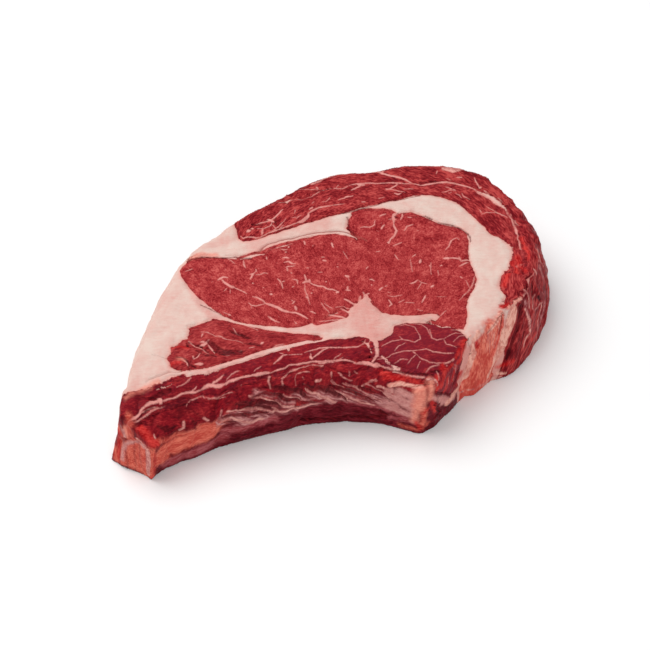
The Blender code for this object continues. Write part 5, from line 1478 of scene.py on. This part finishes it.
def coats_over(tree, colour, tone):
    """Lays the coats over a colour, each broken up into streaks as far as it is streaky."""
    streaks = noise_in(tree, attribute_in(tree, "streak", "Vector"), 1.1, detail=1.0)
    gaps = ramp(tree, streaks, 0.62, 0.42)
    plain = ramp(tree, tone, 0.1, 0.9)
    streaked = ramp(tree, about_middle(tree, tone, 0.5, streaks), 0.3, 0.7)
    for name, darker, lighter, lump, raggedness, softness, streaky in COATS:
        mask = effect_in(
            tree, "ragged edge", Distance=attribute_in(tree, name),
            Lump=lump, Raggedness=raggedness, Softness=softness,
        )["Mask"]
        kept = sum_up(tree, "MULTIPLY_ADD", gaps, -streaky, 1.0)
        coat = blend_colours(tree, streaked if streaky else plain, darker, lighter)
        colour = blend_colours(tree, sum_up(tree, "MULTIPLY", mask, kept), colour, coat)
    return colour


def start_material(name):
    material = bpy.data.materials.new(name)
    material.use_nodes = True
    tree = material.node_tree
    return material, tree, tree.nodes["Principled BSDF"]


def finish_shader(tree, shader, colour, height, roughness, sheen, relief):
    tree.links.new(colour, shader.inputs["Base Color"])
    film = effect_in(tree, "wet film", Driest=roughness + 0.1, Wettest=roughness - 0.1)
    tree.links.new(film["Roughness"], shader.inputs["Roughness"])
    bump = node_in(tree, "Bump")
    bump.inputs["Strength"].default_value = 0.6
    bump.inputs["Distance"].default_value = relief * MM
    tree.links.new(height, bump.inputs["Height"])
    tree.links.new(bump.outputs["Normal"], shader.inputs["Normal"])
    shader.inputs["Specular IOR Level"].default_value = sheen


def meat_material(name, rosy, contrast, marbling, roughness, sheen):
    """Lean or fat, whichever side of the seam a place is on."""
    material, tree, shader = start_material(name)
    run = attribute_in(tree, "grain", "Vector")
    grain = effect_in(tree, "lean grain", Run=run, Contrast=contrast)
    tone = grain["Tone"]
    lean = blend_colours(
        tree, attribute_in(tree, "deep"), by_tone(tree, tone, EYE), by_tone(tree, tone, DEEP)
    )
    share = sum_up(
        tree, "MULTIPLY", attribute_in(tree, "purple"), ramp(tree, tone, 1.0, 0.0, 0.45, 1.0)
    )
    lean = blend_colours(tree, share, lean, PURPLE)
    lean = blend_colours(tree, attribute_in(tree, "ember"), lean, by_tone(tree, tone, EMBER))
    threads = effect_in(tree, "fine marbling", Run=run, Amount=marbling)["Mask"]
    lean = blend_colours(tree, sum_up(tree, "MULTIPLY", threads, 0.7), lean, VEIN_FAT)
    seam = attribute_in(tree, "seam")
    unevenly = noise_in(tree, object_places(tree), 4.0, detail=2.0)
    seam_and_cleft_shade = sum_up(
        # Painted shade: the lean darkens towards the shadow red along its seam with the fat and in
        # the grooves between bundles, less in the orange edge meat.
        tree, "MULTIPLY", ramp(tree, seam, 1.6, 0.2), ramp(tree, unevenly, 0.4, 0.65, 0.0, 0.25)
    )
    seam_and_cleft_shade = sum_up(
        tree, "MAXIMUM", seam_and_cleft_shade, sum_up(tree, "MULTIPLY", attribute_in(tree, "cleft_shade"), 0.5)
    )
    seam_and_cleft_shade = sum_up(
        tree, "MULTIPLY", seam_and_cleft_shade, sum_up(tree, "SUBTRACT", 1.0, attribute_in(tree, "ember"))
    )
    lean = blend_colours(tree, seam_and_cleft_shade, lean, SHADOW_RED)
    depth = sum_up(tree, "SUBTRACT", attribute_in(tree, "vein"), 0.1)
    veins = effect_in(
        tree, "ragged edge", Distance=depth, Lump=0.9, Raggedness=0.4, Softness=0.36
    )["Mask"]
    veins = sum_up(tree, "MULTIPLY", veins, ramp(tree, unevenly, 0.25, 0.6, 0.65, 1.0))
    lean = blend_colours(tree, veins, lean, VEIN_FAT)
    flush = sum_up(tree, "ADD", attribute_in(tree, "rosy"), rosy)
    fat = effect_in(tree, "fat bloom", Cream=FAT_CREAM, Pink=FAT_PINK, Rosy=flush)
    blush = sum_up(tree, "MULTIPLY", ramp(tree, seam, -1.7, 0.0), 0.75)
    fat_colour = blend_colours(tree, blush, fat["Colour"], SEAM_FAT)
    ragged = sum_up(tree, "MULTIPLY_ADD", attribute_in(tree, "lumpy"), 1.1, 0.55)
    inside = effect_in(
        tree, "ragged edge", Distance=seam, Lump=1.5, Raggedness=ragged, Softness=0.28
    )["Mask"]
    colour = blend_colours(tree, inside, fat_colour, lean)
    # Painted shade: the lean is darkened along the creases between muscles, besides their carved
    # groove.
    crease_shade = ramp(tree, attribute_in(tree, "crease"), -0.35, 0.25, 0.0, 0.85)
    colour = blend_colours(tree, crease_shade, colour, CREASE_SHADE_RED)
    colour = coats_over(tree, colour, tone)
    height = sum_up(tree, "MULTIPLY_ADD", veins, 0.5, grain["Height"])
    finish_shader(tree, shader, colour, height, roughness, sheen, 0.3)
    return material


def bone_material():
    """The rib in its membrane, the sawn ends with their marrow, and the chine's bare face."""
    material, tree, shader = start_material("rib_under_membrane")
    run = attribute_in(tree, "grain", "Vector")
    grain = effect_in(tree, "lean grain", Run=run, Bundle=1.6, Fibre=0.5, Contrast=1.2)
    tone = grain["Tone"]
    colour = coats_over(tree, by_tone(tree, tone, MEMBRANE), tone)
    finish_shader(tree, shader, colour, grain["Height"], 0.38, 0.03, 0.25)
    return material


# Each meat's flush of its fat, contrast, marbling, roughness and sheen.
FINISHES = {
    "eye_muscle": (0.3, 1.15, 0.3, 0.42, 0.03),
    "cap_muscle": (0.3, 1.6, 0.12, 0.42, 0.03),
    "outer_cap_muscle": (0.35, 1.7, 0.2, 0.42, 0.03),
    "edge_lean": (0.35, 1.4, 0.1, 0.42, 0.05),
    "left_lean": (0.25, 1.0, 0.2, 0.40, 0.05),
    "upper_rib_lean": (0.35, 0.95, 0.1, 0.40, 0.04),
    "lower_rib_lean": (0.35, 0.95, 0.1, 0.38, 0.04),
    "chine_lean": (0.35, 1.0, 0.15, 0.40, 0.04),
    "fat": (0.2, 1.3, 0.2, 0.48, 0.06),
}
for node, piece in pieces.items():
    if node == "rib_bone":
        piece.data.materials.append(bone_material())
    else:
        piece.data.materials.append(meat_material(NAMES[node], *FINISHES[node]))


# ---------------------------------------------------------------- table, light and camera

TABLE_SIZE = 6.0
TABLE_DROP = 0.0001
SKY_STRENGTH = 0.6


def floor():
    bpy.ops.mesh.primitive_plane_add(size=TABLE_SIZE, location=(0.0, 0.0, -TABLE_DROP))
    plane = bpy.context.active_object
    plane.name = "table"
    material = bpy.data.materials.new("pale table")
    material.use_nodes = True
    shader = material.node_tree.nodes["Principled BSDF"]
    shader.inputs["Base Color"].default_value = (0.9, 0.9, 0.9, 1.0)
    shader.inputs["Roughness"].default_value = 0.9
    shader.inputs["Specular IOR Level"].default_value = 0.0
    plane.data.materials.append(material)


def area_light(name, place, size, power):
    bpy.ops.object.light_add(type="AREA", location=place)
    light = bpy.context.active_object
    light.name = name
    light.data.shape = "DISK"
    light.data.size = size
    light.data.energy = power
    light.rotation_euler = (-Vector(place)).to_track_quat("-Z", "Y").to_euler()


VIEW_ELEVATION = 47.0
TARGET = Vector((-7.05, 8.72, 0.0)) * MM
CAMERA_DISTANCE = 816.3 * MM
FOCAL_LENGTH = 88.615


def camera():
    bpy.ops.object.camera_add()
    eye = bpy.context.active_object
    tilt = math.radians(VIEW_ELEVATION)
    ahead = Vector((0.0, math.cos(tilt), -math.sin(tilt)))
    eye.location = TARGET - ahead * CAMERA_DISTANCE
    eye.rotation_euler = ahead.to_track_quat("-Z", "Y").to_euler()
    eye.data.lens = FOCAL_LENGTH
    eye.data.sensor_width = 36.0
    eye.data.clip_start = 0.01
    bpy.context.scene.camera = eye


bpy.ops.object.select_all(action="DESELECT")
floor()
area_light("window", (-0.62, 0.38, 1.3), 1.3, 15.0)
area_light("fill", (0.35, -1.0, 1.0), 1.2, 3.5)
world = bpy.data.worlds.new("studio")
world.use_nodes = True
world.node_tree.nodes["Background"].inputs["Color"].default_value = (1.0, 1.0, 1.0, 1.0)
world.node_tree.nodes["Background"].inputs["Strength"].default_value = SKY_STRENGTH
bpy.context.scene.world = world
bpy.context.scene.view_settings.view_transform = "Standard"
camera()
